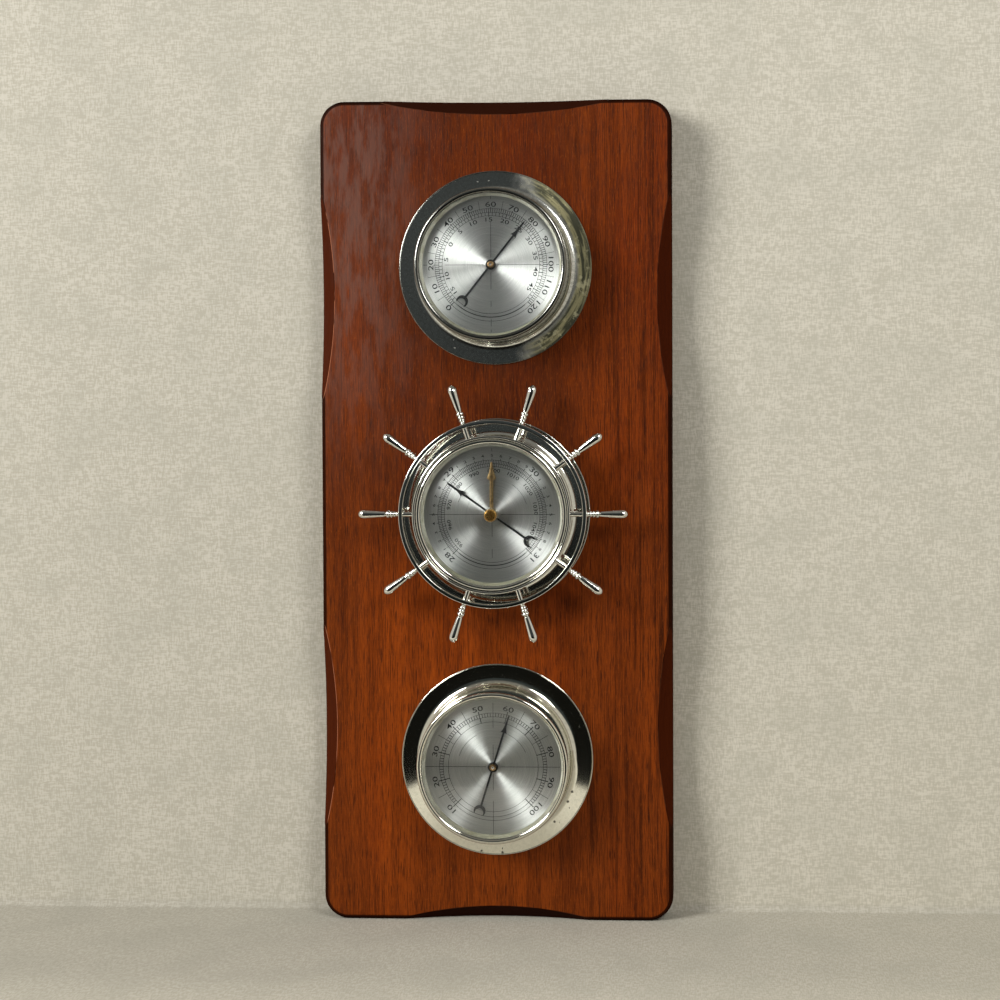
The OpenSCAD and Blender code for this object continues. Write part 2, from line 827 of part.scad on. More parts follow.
module barometer_bridge() {
    post_x = hair_r + hair_t / 2 + hair_post_r + fit_gap;
    color(brass)
        from_face(barometer_z) {
            difference() {
                translate([0, 0, bar_z])
                    linear_extrude(bar_t) {
                        square([bar_w, 2 * (pillar_y + pillar_r + 1)], center = true);
                        circle(bar_disc_r, $fn = 64);
                    }
                translate([0, 0, bar_z - 1]) cylinder(r = arbor_r + run_gap, h = bar_t + 2, $fn = 48);
                for (s = [-1, 1])
                    translate([0, s * pillar_y, bar_z - 1])
                        cylinder(r = screw_r + fit_gap, h = bar_t + 2, $fn = 32);
            }
            translate([post_x, 0, bar_z + bar_t / 2])
                cylinder(r = hair_post_r, h = hair_z + hair_w - bar_z - bar_t / 2, $fn = 24);
        }
}

// A cheese-head screw standing on its seat, with its slot across the head
module cheese_screw(shank) {
    difference() {
        union() {
            cylinder(r = screw_head_r, h = screw_head_h, $fn = 32);
            translate([0, 0, -shank]) cylinder(r = screw_r, h = shank + 0.5, $fn = 32);
        }
        translate([0, 0, screw_head_h])
            cube([0.7, 3 * screw_head_r, 1], center = true);
    }
}

module movement_screws() {
    color(steel)
        from_face(barometer_z) {
            for (s = [-1, 1])
                translate([0, s * pillar_y, bar_z + bar_t]) cheese_screw(bar_t + 4);
            translate([foot_screw_x, 0, base_top + leaf_t]) cheese_screw(leaf_t);
        }
}

module case_screw_shanks(gap) {
    for (a = case_screw_angles)
        rotate([0, 0, a])
            translate([case_screw_r, 0, -case_sink - 1])
                cylinder(r = screw_r + gap, h = case_t + base_t + 2, $fn = 32);
}

module case_screws() {
    color(steel)
        from_face(barometer_z)
            for (a = case_screw_angles)
                rotate([0, 0, a])
                    translate([case_screw_r, 0, -case_sink])
                        rotate([180, 0, 0]) cheese_screw(case_t + base_t);
}

module adjusting_screw() {
    color(brass)
        from_face(barometer_z)
            difference() {
                union() {
                    translate([0, 0, -case_sink - adjuster_head_h - run_gap])
                        cylinder(r = adjuster_head_r, h = adjuster_head_h, $fn = 48);
                    translate([0, 0, -case_sink - adjuster_head_h])
                        cylinder(r = adjuster_r, h = base_top + case_sink + adjuster_head_h, $fn = 48);
                }
                translate([0, 0, -case_sink - adjuster_head_h])
                    cube([0.9, 3 * adjuster_head_r, 1.4], center = true);
            }
}

// Half of the capsule's corrugated outline, from the axis to the soldered edge
function corrugated(z, dir) =
    [for (i = [0:20]) let (r = (capsule_r - 1) * i / 20)
        [r, z - dir * 0.35 * (1 - cos(360 * 4 * i / 20)) * (i > 3 ? 1 : 0)]];

module aneroid_capsule() {
    mid = (capsule_z + capsule_top) / 2;
    color([0.7, 0.68, 0.6])
        from_face(barometer_z)
            rotate_extrude($fn = 64)
                polygon(concat(
                    [[0, base_top], [boss_r, base_top], [boss_r, capsule_z]],
                    [for (p = corrugated(capsule_z, -1)) if (p[0] > boss_r) p],
                    [[capsule_r - 0.6, mid - 0.4], [capsule_r, mid - 0.4], [capsule_r, mid + 0.4],
                        [capsule_r - 0.6, mid + 0.4]],
                    reversed(corrugated(capsule_top, 1))));
}

// Stud on the capsule's top, whose head holds the main spring down
module capsule_stud() {
    head = leaf_z + leaf_t + fit_gap;
    color(steel)
        from_face(barometer_z)
            rotate_extrude($fn = 48)
                polygon([[0, capsule_top], [stud_r, capsule_top], [stud_r, head], [stud_head_r, head],
                    [stud_head_r, head + 1.2], [0, head + 1.2]]);
}

// C-shaped spring over the capsule
module main_spring() {
    mid = base_top + spring_r;
    color(steel)
        from_face(barometer_z)
            difference() {
                rotate([90, 0, 0])
                    linear_extrude(leaf_w, center = true) {
                        translate([spring_bend_x, base_top])
                            square([foot_end - spring_bend_x, leaf_t]);
                        translate([spring_bend_x, leaf_z])
                            square([leaf_end - spring_bend_x, leaf_t]);
                        translate([spring_bend_x, mid])
                            difference() {
                                circle(spring_r, $fn = fine);
                                circle(spring_r - leaf_t, $fn = fine);
                                translate([0, -2 * spring_r]) square(4 * spring_r);
                            }
                    }
                translate([0, 0, leaf_z - 1])
                    cylinder(r = stud_r + loose_gap, h = leaf_t + 2, $fn = 32);
                translate([foot_screw_x, 0, base_top - 1])
                    cylinder(r = screw_r + fit_gap, h = leaf_t + 2, $fn = 32);
            }
}

// Lever on the spring's free end, with the wire link that draws the rocker down
module lever() {
    wire_top = rocker_z + arm_t / 2 + link_bead_r;
    color(brass)
        from_face(barometer_z) {
            difference() {
                translate([0, 0, lever_z])
                    linear_extrude(lever_t)
                        polygon([[-8, -5], [leaf_end, -5], [leaf_end + 4, -1.6], [link_x + 1, -1],
                            [link_x + 1, 1], [leaf_end + 4, 1.6], [leaf_end, 5], [-8, 5]]);
                translate([0, 0, lever_z - 1])
                    cylinder(r = stud_head_r + loose_gap, h = lever_t + 2, $fn = 32);
            }
            translate([link_x, 0, lever_z + lever_t / 2])
                cylinder(r = link_r, h = wire_top - lever_z - lever_t / 2, $fn = 24);
            translate([link_x, 0, wire_top]) sphere(r = link_bead_r, $fn = 32);
        }
}

module rocker() {
    color(brass)
        from_face(barometer_z)
            translate([rocker_x, 0, rocker_z]) {
                rotate([90, 0, 0])
                    cylinder(r = rocker_r, h = 2 * (rocker_y + rocker_post_t), center = true, $fn = 32);
                rotate([90, 0, 0])
                    cylinder(r = rocker_body_r, h = 2 * rocker_y - 0.4, center = true, $fn = 32);
                difference() {
                    translate([-short_arm_l - 1.3, -1.4, -arm_t / 2])
                        cube([short_arm_l + 1.3, 2.8, arm_t]);
                    translate([-short_arm_l, 0, -1]) cylinder(r = 0.6, h = 2, $fn = 32);
                }
                translate([-arm_t / 2, -chain_gap, 0])
                    cube([arm_t, 2, chain_arm_l + 1]);
                translate([0, 0, chain_arm_l])
                    rotate([90, 0, 0]) cylinder(r = chain_pin_r, h = chain_gap + 1, $fn = 24);
            }
}

module rocker_posts() {
    color(brass)
        from_face(barometer_z)
            for (s = [-1, 1])
                translate([rocker_x, s * (rocker_y + rocker_post_t / 2), base_top])
                    difference() {
                        union() {
                            translate([-rocker_post_w / 2, -rocker_post_t / 2, 0])
                                cube([rocker_post_w, rocker_post_t, rocker_z - base_top + 2.5]);
                            translate([-rocker_post_w / 2, s > 0 ? 0 : -3, 0])
                                cube([rocker_post_w, 3, 1.2]);
                        }
                        translate([0, 0, rocker_z - base_top])
                            rotate([90, 0, 0])
                                cylinder(r = rocker_r + run_gap, h = 8, center = true, $fn = 32);
                    }
}

// Flat chain from the rocker's pin to the arbor's drum
module chain() {
    color(steel)
        from_face(barometer_z)
            translate([0, -drum_pitch_r + chain_t / 2, chain_z])
                rotate([90, 0, 0])
                    linear_extrude(chain_t)
                        difference() {
                            union() {
                                translate([-0.3, -chain_w / 2]) square([rocker_x + 0.3, chain_w]);
                                translate([rocker_x, 0]) circle(chain_eye_r, $fn = 32);
                            }
                            translate([rocker_x, 0]) circle(chain_pin_r + chain_gap, $fn = 32);
                        }
}

// Pieces of the thermometer

module thermometer_bezel() from_face(thermometer_z) bezel();
module thermometer_glass() from_face(thermometer_z) glass(0);
module thermometer_spacer_ring() from_face(thermometer_z) spacer_ring();
module thermometer_dial() from_face(thermometer_z) dial();
module thermometer_case() from_face(thermometer_z) case_shell();
module thermometer_lock_ring() from_face(thermometer_z) lock_ring();
module thermometer_spring_clips() from_face(thermometer_z) spring_clips();
module thermometer_bush() from_face(thermometer_z) bush();
module thermometer_bridge() from_face(thermometer_z) coil_bridge();
module thermometer_bimetal_coil() from_face(thermometer_z) color([0.7, 0.45, 0.3]) coil(bimetal_turns);
module thermometer_arbor() from_face(thermometer_z) coil_arbor();
module thermometer_hub() from_face(thermometer_z) pointer_hub();
module thermometer_pointer()
    from_face(thermometer_z) clockwise(thermometer_angle) pointer_blade(hub_ring_r);

// Pieces of the hygrometer

module hygrometer_bezel() from_face(hygrometer_z) bezel();
module hygrometer_glass() from_face(hygrometer_z) glass(0);
module hygrometer_spacer_ring() from_face(hygrometer_z) spacer_ring();
module hygrometer_dial() from_face(hygrometer_z) dial();
module hygrometer_case() from_face(hygrometer_z) case_shell();
module hygrometer_lock_ring() from_face(hygrometer_z) lock_ring();
module hygrometer_spring_clips() from_face(hygrometer_z) spring_clips();
module hygrometer_bush() from_face(hygrometer_z) bush();
module hygrometer_bridge() from_face(hygrometer_z) coil_bridge();
module hygrometer_humidity_coil() from_face(hygrometer_z) color([0.9, 0.88, 0.8]) coil(humidity_turns);
module hygrometer_arbor() from_face(hygrometer_z) coil_arbor();
module hygrometer_hub() from_face(hygrometer_z) pointer_hub();
module hygrometer_pointer()
    from_face(hygrometer_z) clockwise(hygrometer_angle) pointer_blade(hub_ring_r);

// Pieces of the barometer that match the other two

module barometer_bezel() from_face(barometer_z) bezel(barometer_flange_r);
module barometer_glass() from_face(barometer_z) glass(shaft_r + run_gap);
module barometer_spacer_ring() from_face(barometer_z) spacer_ring();
module barometer_dial() from_face(barometer_z) dial();
module barometer_case()
    from_face(barometer_z)
        case_shell() {
            translate([0, 0, -case_sink - 1])
                cylinder(r = adjuster_r + loose_gap, h = case_t + 2, $fn = 48);
            case_screw_shanks(fit_gap);
        }
module barometer_lock_ring() from_face(barometer_z) lock_ring();
module barometer_spring_clips() from_face(barometer_z) spring_clips();
module barometer_bush() from_face(barometer_z) bush();
module barometer_pointer()
    from_face(barometer_z) clockwise(barometer_angle) pointer_blade(hub_ring_r);

backboard();
keyhole_plate();
keyhole_screws();
thermometer_bezel();
thermometer_glass();
thermometer_spacer_ring();
thermometer_dial();
thermometer_case();
thermometer_lock_ring();
thermometer_spring_clips();
thermometer_bush();
thermometer_bridge();
thermometer_bimetal_coil();
thermometer_arbor();
thermometer_hub();
thermometer_pointer();
hygrometer_bezel();
hygrometer_glass();
hygrometer_spacer_ring();
hygrometer_dial();
hygrometer_case();
hygrometer_lock_ring();
hygrometer_spring_clips();
hygrometer_bush();
hygrometer_bridge();
hygrometer_humidity_coil();
hygrometer_arbor();
hygrometer_hub();
hygrometer_pointer();
barometer_bezel();
barometer_glass();
barometer_spacer_ring();
barometer_dial();
barometer_case();
barometer_lock_ring();
barometer_spring_clips();
barometer_bush();
barometer_arbor();
barometer_pointer();
barometer_hairspring();
set_hand();
set_knob();
knob_washer();
wheel_nave();
wheel_rim();
wheel_spokes();
base_plate();
bridge_pillars();
barometer_bridge();
movement_screws();
case_screws();
adjusting_screw();
aneroid_capsule();
capsule_stud();
main_spring();
lever();
rocker();
rocker_posts();
chain();
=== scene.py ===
# %% [markdown]
# # A wall weather station
# A stained plank carries three round instruments: a thermometer, a barometer inside a ship's
# wheel, and a hygrometer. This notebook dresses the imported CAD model: it keeps every size, swaps
# the parts that the eye rests on for smooth surfaces, and gives every part a worked finish.

# %% Load the frame
import json
import math

import bmesh
import bpy
import numpy as np
from mathutils import Matrix, Vector


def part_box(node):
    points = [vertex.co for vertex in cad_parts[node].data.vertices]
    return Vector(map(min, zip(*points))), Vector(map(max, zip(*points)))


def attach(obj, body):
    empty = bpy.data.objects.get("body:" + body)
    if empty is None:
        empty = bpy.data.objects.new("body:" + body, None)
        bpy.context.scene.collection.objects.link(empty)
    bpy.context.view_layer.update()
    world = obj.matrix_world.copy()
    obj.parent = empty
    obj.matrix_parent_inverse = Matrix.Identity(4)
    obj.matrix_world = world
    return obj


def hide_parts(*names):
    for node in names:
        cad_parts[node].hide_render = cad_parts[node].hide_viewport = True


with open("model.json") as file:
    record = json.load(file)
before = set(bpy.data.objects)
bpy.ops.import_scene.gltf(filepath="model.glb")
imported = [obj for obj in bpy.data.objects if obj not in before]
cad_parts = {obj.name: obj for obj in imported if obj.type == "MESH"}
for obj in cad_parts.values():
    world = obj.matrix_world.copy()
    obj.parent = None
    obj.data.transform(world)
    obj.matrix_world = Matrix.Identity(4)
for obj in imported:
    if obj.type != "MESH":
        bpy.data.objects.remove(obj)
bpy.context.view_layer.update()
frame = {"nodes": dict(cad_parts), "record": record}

nodes = frame["nodes"]

# %% [markdown]
# The plank's sizes and the three dials' middles are read from the CAD. Shapes are drawn in
# millimetres round a dial's middle, with a height that grows towards the viewer.

# %% Places in the frame
mm = 0.001
plank_low, plank_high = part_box("backboard")
face_y, floor_z = plank_low.y, plank_low.z
half_w = (plank_high.x - plank_low.x) / 2 / mm
half_h = (plank_high.z - plank_low.z) / 2 / mm
thick = (plank_high.y - plank_low.y) / mm
middle_z = (plank_high.z + plank_low.z) / 2
print("plank", round(2 * half_w, 1), "x", round(2 * half_h, 1), "x", round(thick, 1), "mm")

centres = {}
for name in ("thermometer", "barometer", "hygrometer"):
    low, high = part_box(name + "_bezel")
    centres[name] = (low + high) / 2
    print(name, "middle at z =", round(centres[name].z, 4))


def place(points, name):
    """Turns (across, up, height) in mm round a dial's middle into the frame's metres."""
    points = np.asarray(points, float)
    centre = centres[name]
    return np.stack([centre.x + points[..., 0] * mm,
                     face_y - points[..., 2] * mm,
                     centre.z + points[..., 1] * mm], -1)


# %% [markdown]
# Most pieces here are grids of points. One helper spreads coordinates over a grid, and one
# numbers the four-sided faces between its rows and columns. Another joins several shapes in one.

# %% Grids
def grid_points(x, y, z):
    """Points from coordinates that run along the rows, along the columns or over both."""
    return np.stack(np.broadcast_arrays(x, y, z), -1)


def grid_faces(rows, columns, wrap_rows=True, wrap_columns=True):
    """Face (i, j) joins point (i, j) with its neighbours in the next row and column."""
    i = np.arange(rows if wrap_rows else rows - 1)[:, None]
    j = np.arange(columns if wrap_columns else columns - 1)[None, :]
    next_i, next_j = (i + 1) % rows, (j + 1) % columns
    corners = [i * columns + j, i * columns + next_j, next_i * columns + next_j, next_i * columns + j]
    return np.stack(np.broadcast_arrays(*corners), -1).reshape(-1, 4)


def repeated(faces, points_each, count):
    """The faces of count equal shapes whose points follow one another."""
    return (faces[None] + points_each * np.arange(count)[:, None, None]).reshape(-1, 4)


def round_turn(steps):
    """Even angles once round, as a column."""
    return np.linspace(0, 2 * math.pi, steps, endpoint=False)[:, None]


def clockwise(x, y, degrees):
    """Turns x and y as the hand of a dial goes: x cos a + y sin a, and y cos a - x sin a."""
    cos, sin = np.cos(np.radians(degrees)), np.sin(np.radians(degrees))
    return x * cos + y * sin, y * cos - x * sin


def join(*parts):
    """Puts several (points, faces) pairs in one, with the faces' numbers moved on."""
    points, faces, first = [], [], 0
    for part_points, part_faces in parts:
        points.append(np.asarray(part_points, float).reshape(-1, 3))
        faces += [[int(corner) + first for corner in face] for face in part_faces]
        first += len(points[-1])
    return np.concatenate(points), faces


print("dials' middles are", round((centres["thermometer"].z - centres["barometer"].z) / mm, 1), "mm apart")

# %% [markdown]
# One helper turns points and faces into a closed, smooth piece that rides on its body and stands
# for its CAD node. Rows that meet at a seam or a pole are welded first, and the faces are turned
# outwards after that. A finish is looked up by the material slot that it fills.

# %% Pieces
weld_distance = 2e-6
finishes = {}


def make_piece(name, shape, slot, replaces=None, body="plank", sharp=35, finish=None, values=None):
    """Makes a piece from (points, faces), in the slot's finish or in one of its own. Edges that
    turn by more than an angle in degrees stay sharp. The values are attributes of the points."""
    points, faces = shape
    mesh = bpy.data.meshes.new(name)
    points = np.asarray(points, float).reshape(-1, 3)
    mesh.from_pydata(points.tolist(), [], faces.tolist() if isinstance(faces, np.ndarray) else faces)
    for key, numbers in (values or {}).items():
        mesh.attributes.new(key, "FLOAT", "POINT").data.foreach_set("value", np.float32(numbers))
    weld = bmesh.new()
    weld.from_mesh(mesh)
    bmesh.ops.remove_doubles(weld, verts=weld.verts, dist=weld_distance)
    bmesh.ops.recalc_face_normals(weld, faces=weld.faces)
    weld.to_mesh(mesh)
    weld.free()
    mesh.shade_smooth()
    mesh.set_sharp_from_angle(angle=math.radians(sharp))
    mesh.materials.append(finish or finishes[slot])
    piece = bpy.data.objects.new(name, mesh)
    bpy.context.scene.collection.objects.link(piece)
    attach(piece, body)
    if replaces:
        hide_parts(replaces)
    print(name, len(mesh.vertices), "points")


# %% [markdown]
# Finishes are built from nodes. A field is what a node works out at each point of a surface, so
# fields can be added and multiplied like numbers, and each sum adds one node behind the scenes.

# %% Fields
class Field:
    """One output of a node. Fields of numbers take * + - and abs()."""

    def __init__(self, socket):
        self.socket = socket
        self.tree = socket.id_data

    def __mul__(self, other):
        return maths("MULTIPLY", self, other)

    def __add__(self, other):
        return maths("ADD", self, other)

    def __sub__(self, other):
        return maths("SUBTRACT", self, other)

    def __abs__(self):
        return maths("ABSOLUTE", self)


def add(tree, kind, inputs=None, output=0, **settings):
    """Adds a node and gives one of its outputs. An input that is a field is linked, and any
    other is a value."""
    node = tree.nodes.new("ShaderNode" + kind)
    for key, value in settings.items():
        setattr(node, key, value)
    for key, value in (inputs or {}).items():
        if isinstance(value, Field):
            tree.links.new(value.socket, node.inputs[key])
        else:
            node.inputs[key].default_value = value
    return Field(node.outputs[output])


def maths(operation, a, b=0.0):
    """One sum of the field a and a field or number b."""
    return add(a.tree, "Math", {0: a, 1: b}, operation=operation)


def scaled_sum(a, factor, b):
    """a times factor, plus b."""
    return add(a.tree, "Math", {0: a, 1: factor, 2: b}, operation="MULTIPLY_ADD")


def between(value, low, high):
    """0 below low, 1 above high, and smooth between. With low above high it falls."""
    return add(value.tree, "MapRange", {"Value": value, "From Min": low, "From Max": high},
               interpolation_type="SMOOTHSTEP")


def vector(operation, a, b=(0.0, 0.0, 0.0)):
    """One sum of vectors. A length or a distance comes out as a number."""
    output = "Value" if operation in ("LENGTH", "DISTANCE") else "Vector"
    return add(a.tree, "VectorMath", {0: a, 1: b}, output, operation=operation)


def scaled(field, factor):
    """A vector times a number."""
    return add(field.tree, "VectorMath", {0: field, "Scale": factor}, operation="SCALE")


def split(field):
    """The x, y and z of a vector."""
    parts = add(field.tree, "SeparateXYZ", {0: field})
    return [Field(socket) for socket in parts.socket.node.outputs]


# %% [markdown]
# Colours are written as screen colours of 0 to 255, as a painting program shows them. A shader
# wants linear numbers, so a helper converts them. A finish is painted in layers: each lays a tone
# over what is there, where a mask says so. Most masks come from noise, which makes blotches.

# %% Tones and layers
def colour(red, green, blue):
    """A screen colour of 0 to 255 as the linear numbers that a shader takes."""
    screen = np.array([red, green, blue]) / 255
    linear = np.where(screen < 0.04045, screen / 12.92, ((screen + 0.055) / 1.055) ** 2.4)
    return (*linear.tolist(), 1.0)


def mix(factor, a, b):
    """Mixes b over a. Each is a field, a screen colour of three numbers or a linear one of four."""
    tree = next(value.tree for value in (factor, a, b) if isinstance(value, Field))
    a, b = (colour(*tone) if isinstance(tone, tuple) and len(tone) == 3 else tone for tone in (a, b))
    return add(tree, "Mix", {0: factor, 6: a, 7: b}, 2, data_type="RGBA")


def layer(base, mask, strength, tone):
    """Lays a tone over the base where the mask is 1, at a strength."""
    return mix(mask * strength, base, tone)


def noise(place_field, stretch, detail=2.0, roughness=0.5, shift=0.0):
    """Noise over a place in mm. Stretch is the bumps per mm, the same all ways or along x, y, z."""
    if not isinstance(stretch, tuple):
        stretch = (stretch, stretch, stretch)
    tree = place_field.tree
    bumps = add(tree, "VectorMath", {0: place_field, 1: stretch, 2: (shift, shift, shift)},
                operation="MULTIPLY_ADD")
    return add(tree, "TexNoise", {"Vector": bumps, "Scale": 1.0, "Detail": detail, "Roughness": roughness})


def blotches(place_field, stretch, low, high, detail=2.0, roughness=0.5, shift=0.0):
    """A mask that is 1 where the noise is above high and 0 where it is below low."""
    return between(noise(place_field, stretch, detail, roughness, shift), low, high)


print("a mid grey of 128 is", round(colour(128, 128, 128)[0], 3), "to a shader")

# %% [markdown]
# Every finish is one Principled shader. What is the same all over is set on its sockets, and what
# changes from place to place is a field that is linked to them.

# %% Finishes
def new_finish(name, **sockets):
    """A Principled material, with the sockets that are the same all over set at once, and the
    place of a point in mm. Every piece sits at the origin, so that is the frame itself."""
    material = bpy.data.materials.new(name)
    material.use_nodes = True
    shader = material.node_tree.nodes["Principled BSDF"]
    for key, value in sockets.items():
        shader.inputs[key.replace("_", " ")].default_value = value
    place_field = add(material.node_tree, "TexCoord", output="Object")
    return material, scaled(place_field, 1 / mm)


def dress(material, bump=None, **fields):
    """Links fields to the shader's sockets. A bump is (height, strength, depth in mm)."""
    tree = material.node_tree
    if bump:
        height, strength, depth_mm = bump
        fields["Normal"] = add(tree, "Bump", {"Height": height, "Strength": strength,
                                              "Distance": depth_mm * mm})
    for key, field in fields.items():
        tree.links.new(field.socket, tree.nodes["Principled BSDF"].inputs[key.replace("_", " ")])
    return material


def open_to_light(material, where, tint=(1.0, 1.0, 1.0, 1.0)):
    """Where the field is 1, light goes straight through and takes the tint."""
    tree = material.node_tree
    surface = Field(tree.nodes["Principled BSDF"].outputs[0])
    clear = add(tree, "BsdfTransparent", {"Color": tint})
    both = add(tree, "MixShader", {0: where, 1: surface, 2: clear})
    tree.links.new(both.socket, tree.nodes["Material Output"].inputs["Surface"])
    return material


print(len(nodes), "CAD nodes need a finish")

# %% [markdown]
# The camera stands a metre in front of the plank, a little to its right and above its middle,
# and looks almost straight at it. Its frame is moved sideways and down instead of turned, which
# keeps the plank's long edges upright, as they are in the photograph.

# %% Camera
camera_place = Vector((0.1291, -1.019, -0.1735))
yaw, pitch, roll = (math.radians(a) for a in (1.934, -1.218, -0.146))
frame_width = 36.0
focal_in_frames = 1.5485

ahead = Vector((-math.sin(yaw) * math.cos(pitch), math.cos(yaw) * math.cos(pitch), math.sin(pitch)))
right = Vector((math.cos(yaw), math.sin(yaw), 0.0))
up = right.cross(ahead)
rolled_right = math.cos(roll) * right + math.sin(roll) * up
rolled_up = -math.sin(roll) * right + math.cos(roll) * up

lens = bpy.data.cameras.new("camera")
lens.sensor_width = frame_width
lens.lens = frame_width * focal_in_frames
lens.shift_x = -0.143
lens.shift_y = -0.060
camera = bpy.data.objects.new("camera", lens)
camera.matrix_world = Matrix((rolled_right, rolled_up, -ahead)).transposed().to_4x4()
camera.location = camera_place
bpy.context.scene.collection.objects.link(camera)
bpy.context.scene.camera = camera
bpy.context.scene.view_settings.view_transform = "Standard"
print("camera", [round(v, 3) for v in camera.location], "lens", round(lens.lens, 1), "mm")

# %% [markdown]
# The plank stands on a pale cloth that runs up a wall just behind it. The cloth is one sheet with
# a tight fold. It reaches little more than a third of a metre forwards, so the polished rings
# mirror it low down and the dark room above it, which is what gives them their dark tops.

# %% Cloth behind and under the plank
wall_y = 0.005
fold_r = 0.004
front_y = -0.37
cloth_half_w = 1.5
cloth_rise = 1.5


def cloth_sheet():
    """The section runs along the floor, round a quarter circle, and up the wall. It is carried
    along x. The faces' corners are taken backwards, which turns them up and to the viewer."""
    turn = np.linspace(0, math.pi / 2, 9)
    fold_y = wall_y - fold_r
    fold_z = floor_z + fold_r
    floor_part = np.linspace(front_y, fold_y, 12)[:-1]
    wall_part = np.linspace(0, cloth_rise, 9)[1:]
    y = np.concatenate([floor_part, fold_y + fold_r * np.sin(turn), np.full(len(wall_part), wall_y)])
    z = np.concatenate([np.full(len(floor_part), floor_z), fold_z - fold_r * np.cos(turn),
                        fold_z + wall_part])
    x = np.linspace(-cloth_half_w, cloth_half_w, 13)[:, None]
    return grid_points(x, y, z).reshape(-1, 3), grid_faces(len(x), len(y), False, False)[:, ::-1]


points, faces = cloth_sheet()
sheet = bpy.data.meshes.new("cloth")
sheet.from_pydata(points.tolist(), [], faces.tolist())
sheet.shade_smooth()
cloth = bpy.data.objects.new("cloth", sheet)
bpy.context.scene.collection.objects.link(cloth)
print("cloth's first face looks", [round(v, 2) for v in sheet.polygons[0].normal])

# %% [markdown]
# The weave is two noises, each stretched along one thread. Painted shade darkens the cloth towards
# the left and on the floor close to the plank, and painted light makes the floor paler towards the
# front. Seen from behind the sheet lets the eye through, it never stops a lamp, and it has a window
# where the plank hides it, so the plank's back is lit and seen from behind.

# %% Cloth's finish
material, here = new_finish("pale cloth", Roughness=0.95)
x, y, z = split(here)
black = (0, 0, 0)
weave = noise(here, (1.1, 0.25, 0.25), 1.0) + noise(here, (0.25, 1.1, 1.1), 1.0, shift=7.0)
tint = mix(between(weave, 0.8, 1.25), (182, 176, 159), (202, 196, 180))
tint = layer(tint, blotches(here, 0.03, 0.4, 0.7, 3.0), 0.3, (174, 170, 154))
# Painted shade: the cloth is darker towards the left.
tint = mix(between(x, -330.0, 330.0), mix(0.20, tint, black), mix(0.02, tint, black))
on_floor = between(z, floor_z / mm + 6, floor_z / mm + 1)
# Painted shade on the floor close to the plank and the wall.
tint = layer(tint, on_floor * between(y, -190.0, -100.0), 0.18, black)
# Painted light: the floor is paler towards the front.
tint = layer(tint, on_floor * between(y, -190.0, -300.0), 0.7, (232, 228, 214))
dress(material, (weave, 0.2, 0.4), Base_Color=tint)

window_in = 6.0
in_width = maths("LESS_THAN", abs(x), half_w - window_in)
in_height = maths("LESS_THAN", abs(z - middle_z / mm), half_h - window_in)
shadow_ray = add(here.tree, "LightPath", output="Is Shadow Ray")
from_behind = add(here.tree, "NewGeometry", output="Backfacing")
see_through = maths("MAXIMUM", shadow_ray, maths("MAXIMUM", from_behind, in_width * in_height))
sheet.materials.append(open_to_light(material, see_through))
print("the cloth's window stops", window_in, "mm inside the plank's edges")

# %% [markdown]
# Two soft lamps light the plank, a strong one from the upper left and a weaker one from the upper
# right. Each makes one pair of bright fans on the brushed dials. Polished metal mirrors the room:
# it is dark slate straight in front of the plank and bright to the sides, so flat metal turns
# dark and every rounded edge gets bright lines. Plain surfaces see an even grey in front of them,
# and a paler one behind the plank lights its back.

# %% Lamps and room
def add_lamp(name, place_at, aim_at, size, power):
    """A square soft lamp that looks at a point. Glass bends its light too little to show."""
    data = bpy.data.lights.new(name, "AREA")
    data.size = size
    data.energy = power
    lamp = bpy.data.objects.new(name, data)
    lamp.location = place_at
    lamp.rotation_euler = (Vector(aim_at) - Vector(place_at)).to_track_quat("-Z", "Y").to_euler()
    lamp.visible_transmission = False
    bpy.context.scene.collection.objects.link(lamp)
    print(name, "of", power, "watts,", round((Vector(aim_at) - Vector(place_at)).length, 2), "m away")


aim = (0.0, -0.02, -0.24)
add_lamp("key lamp", (-1.20, -1.00, 0.45), aim, 0.65, 30.0)
add_lamp("side lamp", (0.80, -1.10, 0.60), aim, 0.50, 11.0)

world = bpy.data.worlds.new("room")
bpy.context.scene.world = world
world.use_nodes = True
tree = world.node_tree
sideways, away, height = split(add(tree, "TexCoord", output="Generated"))
room = mix(between(height, -0.16, 0.02), (20, 20, 17), (58, 62, 62))
room = mix(between(height, 0.35, 0.75), room, (128, 126, 120))
room = mix(between(abs(sideways), 0.42, 0.70), room, (205, 200, 188))
even_grey = mix(between(away, 0.0, 0.3), (128, 128, 128), (215, 215, 215))
lit = mix(add(tree, "LightPath", output="Is Diffuse Ray"), room, even_grey)
seen = mix(add(tree, "LightPath", output="Is Camera Ray"), lit, (190, 183, 168))
tree.links.new(seen.socket, tree.nodes["Background"].inputs["Color"])

# %% [markdown]
# The plank is a board of mahogany-red wood with rounded corners and a rounded front edge. Six
# shallow scallops are cut across that edge at 45 degrees with a wide round cutter. The outline is
# a rounded rectangle that also knows, at each of its points, how deep the scallop is there. A
# cut far below zero means that there is no scallop.

# %% The plank's outline
corner_r, edge_r = 16.0, 3.0
scallop_in = 9.4
side_scallop, top_scallop, bottom_scallop = 131.0, 147.0, 119.0
side_scallop_at = 140.0
no_cut = -20.0


def chamfer_size(along, length):
    """How far a scallop's 45 degree cut reaches in from the edge, at a distance along it.
    The cutter is a cylinder of radius R that goes deep into the corner, so the cut is
    sqrt(2) times (sqrt(R squared minus along squared) minus (R minus deep))."""
    deep = scallop_in / math.sqrt(2)
    rise = deep - edge_r * (math.sqrt(2) - 1)
    cutter = (length ** 2 / 4 + rise ** 2) / (2 * rise)
    along = np.clip(along, -0.9 * cutter, 0.9 * cutter)
    return math.sqrt(2) * (np.sqrt(cutter ** 2 - along ** 2) - (cutter - deep))


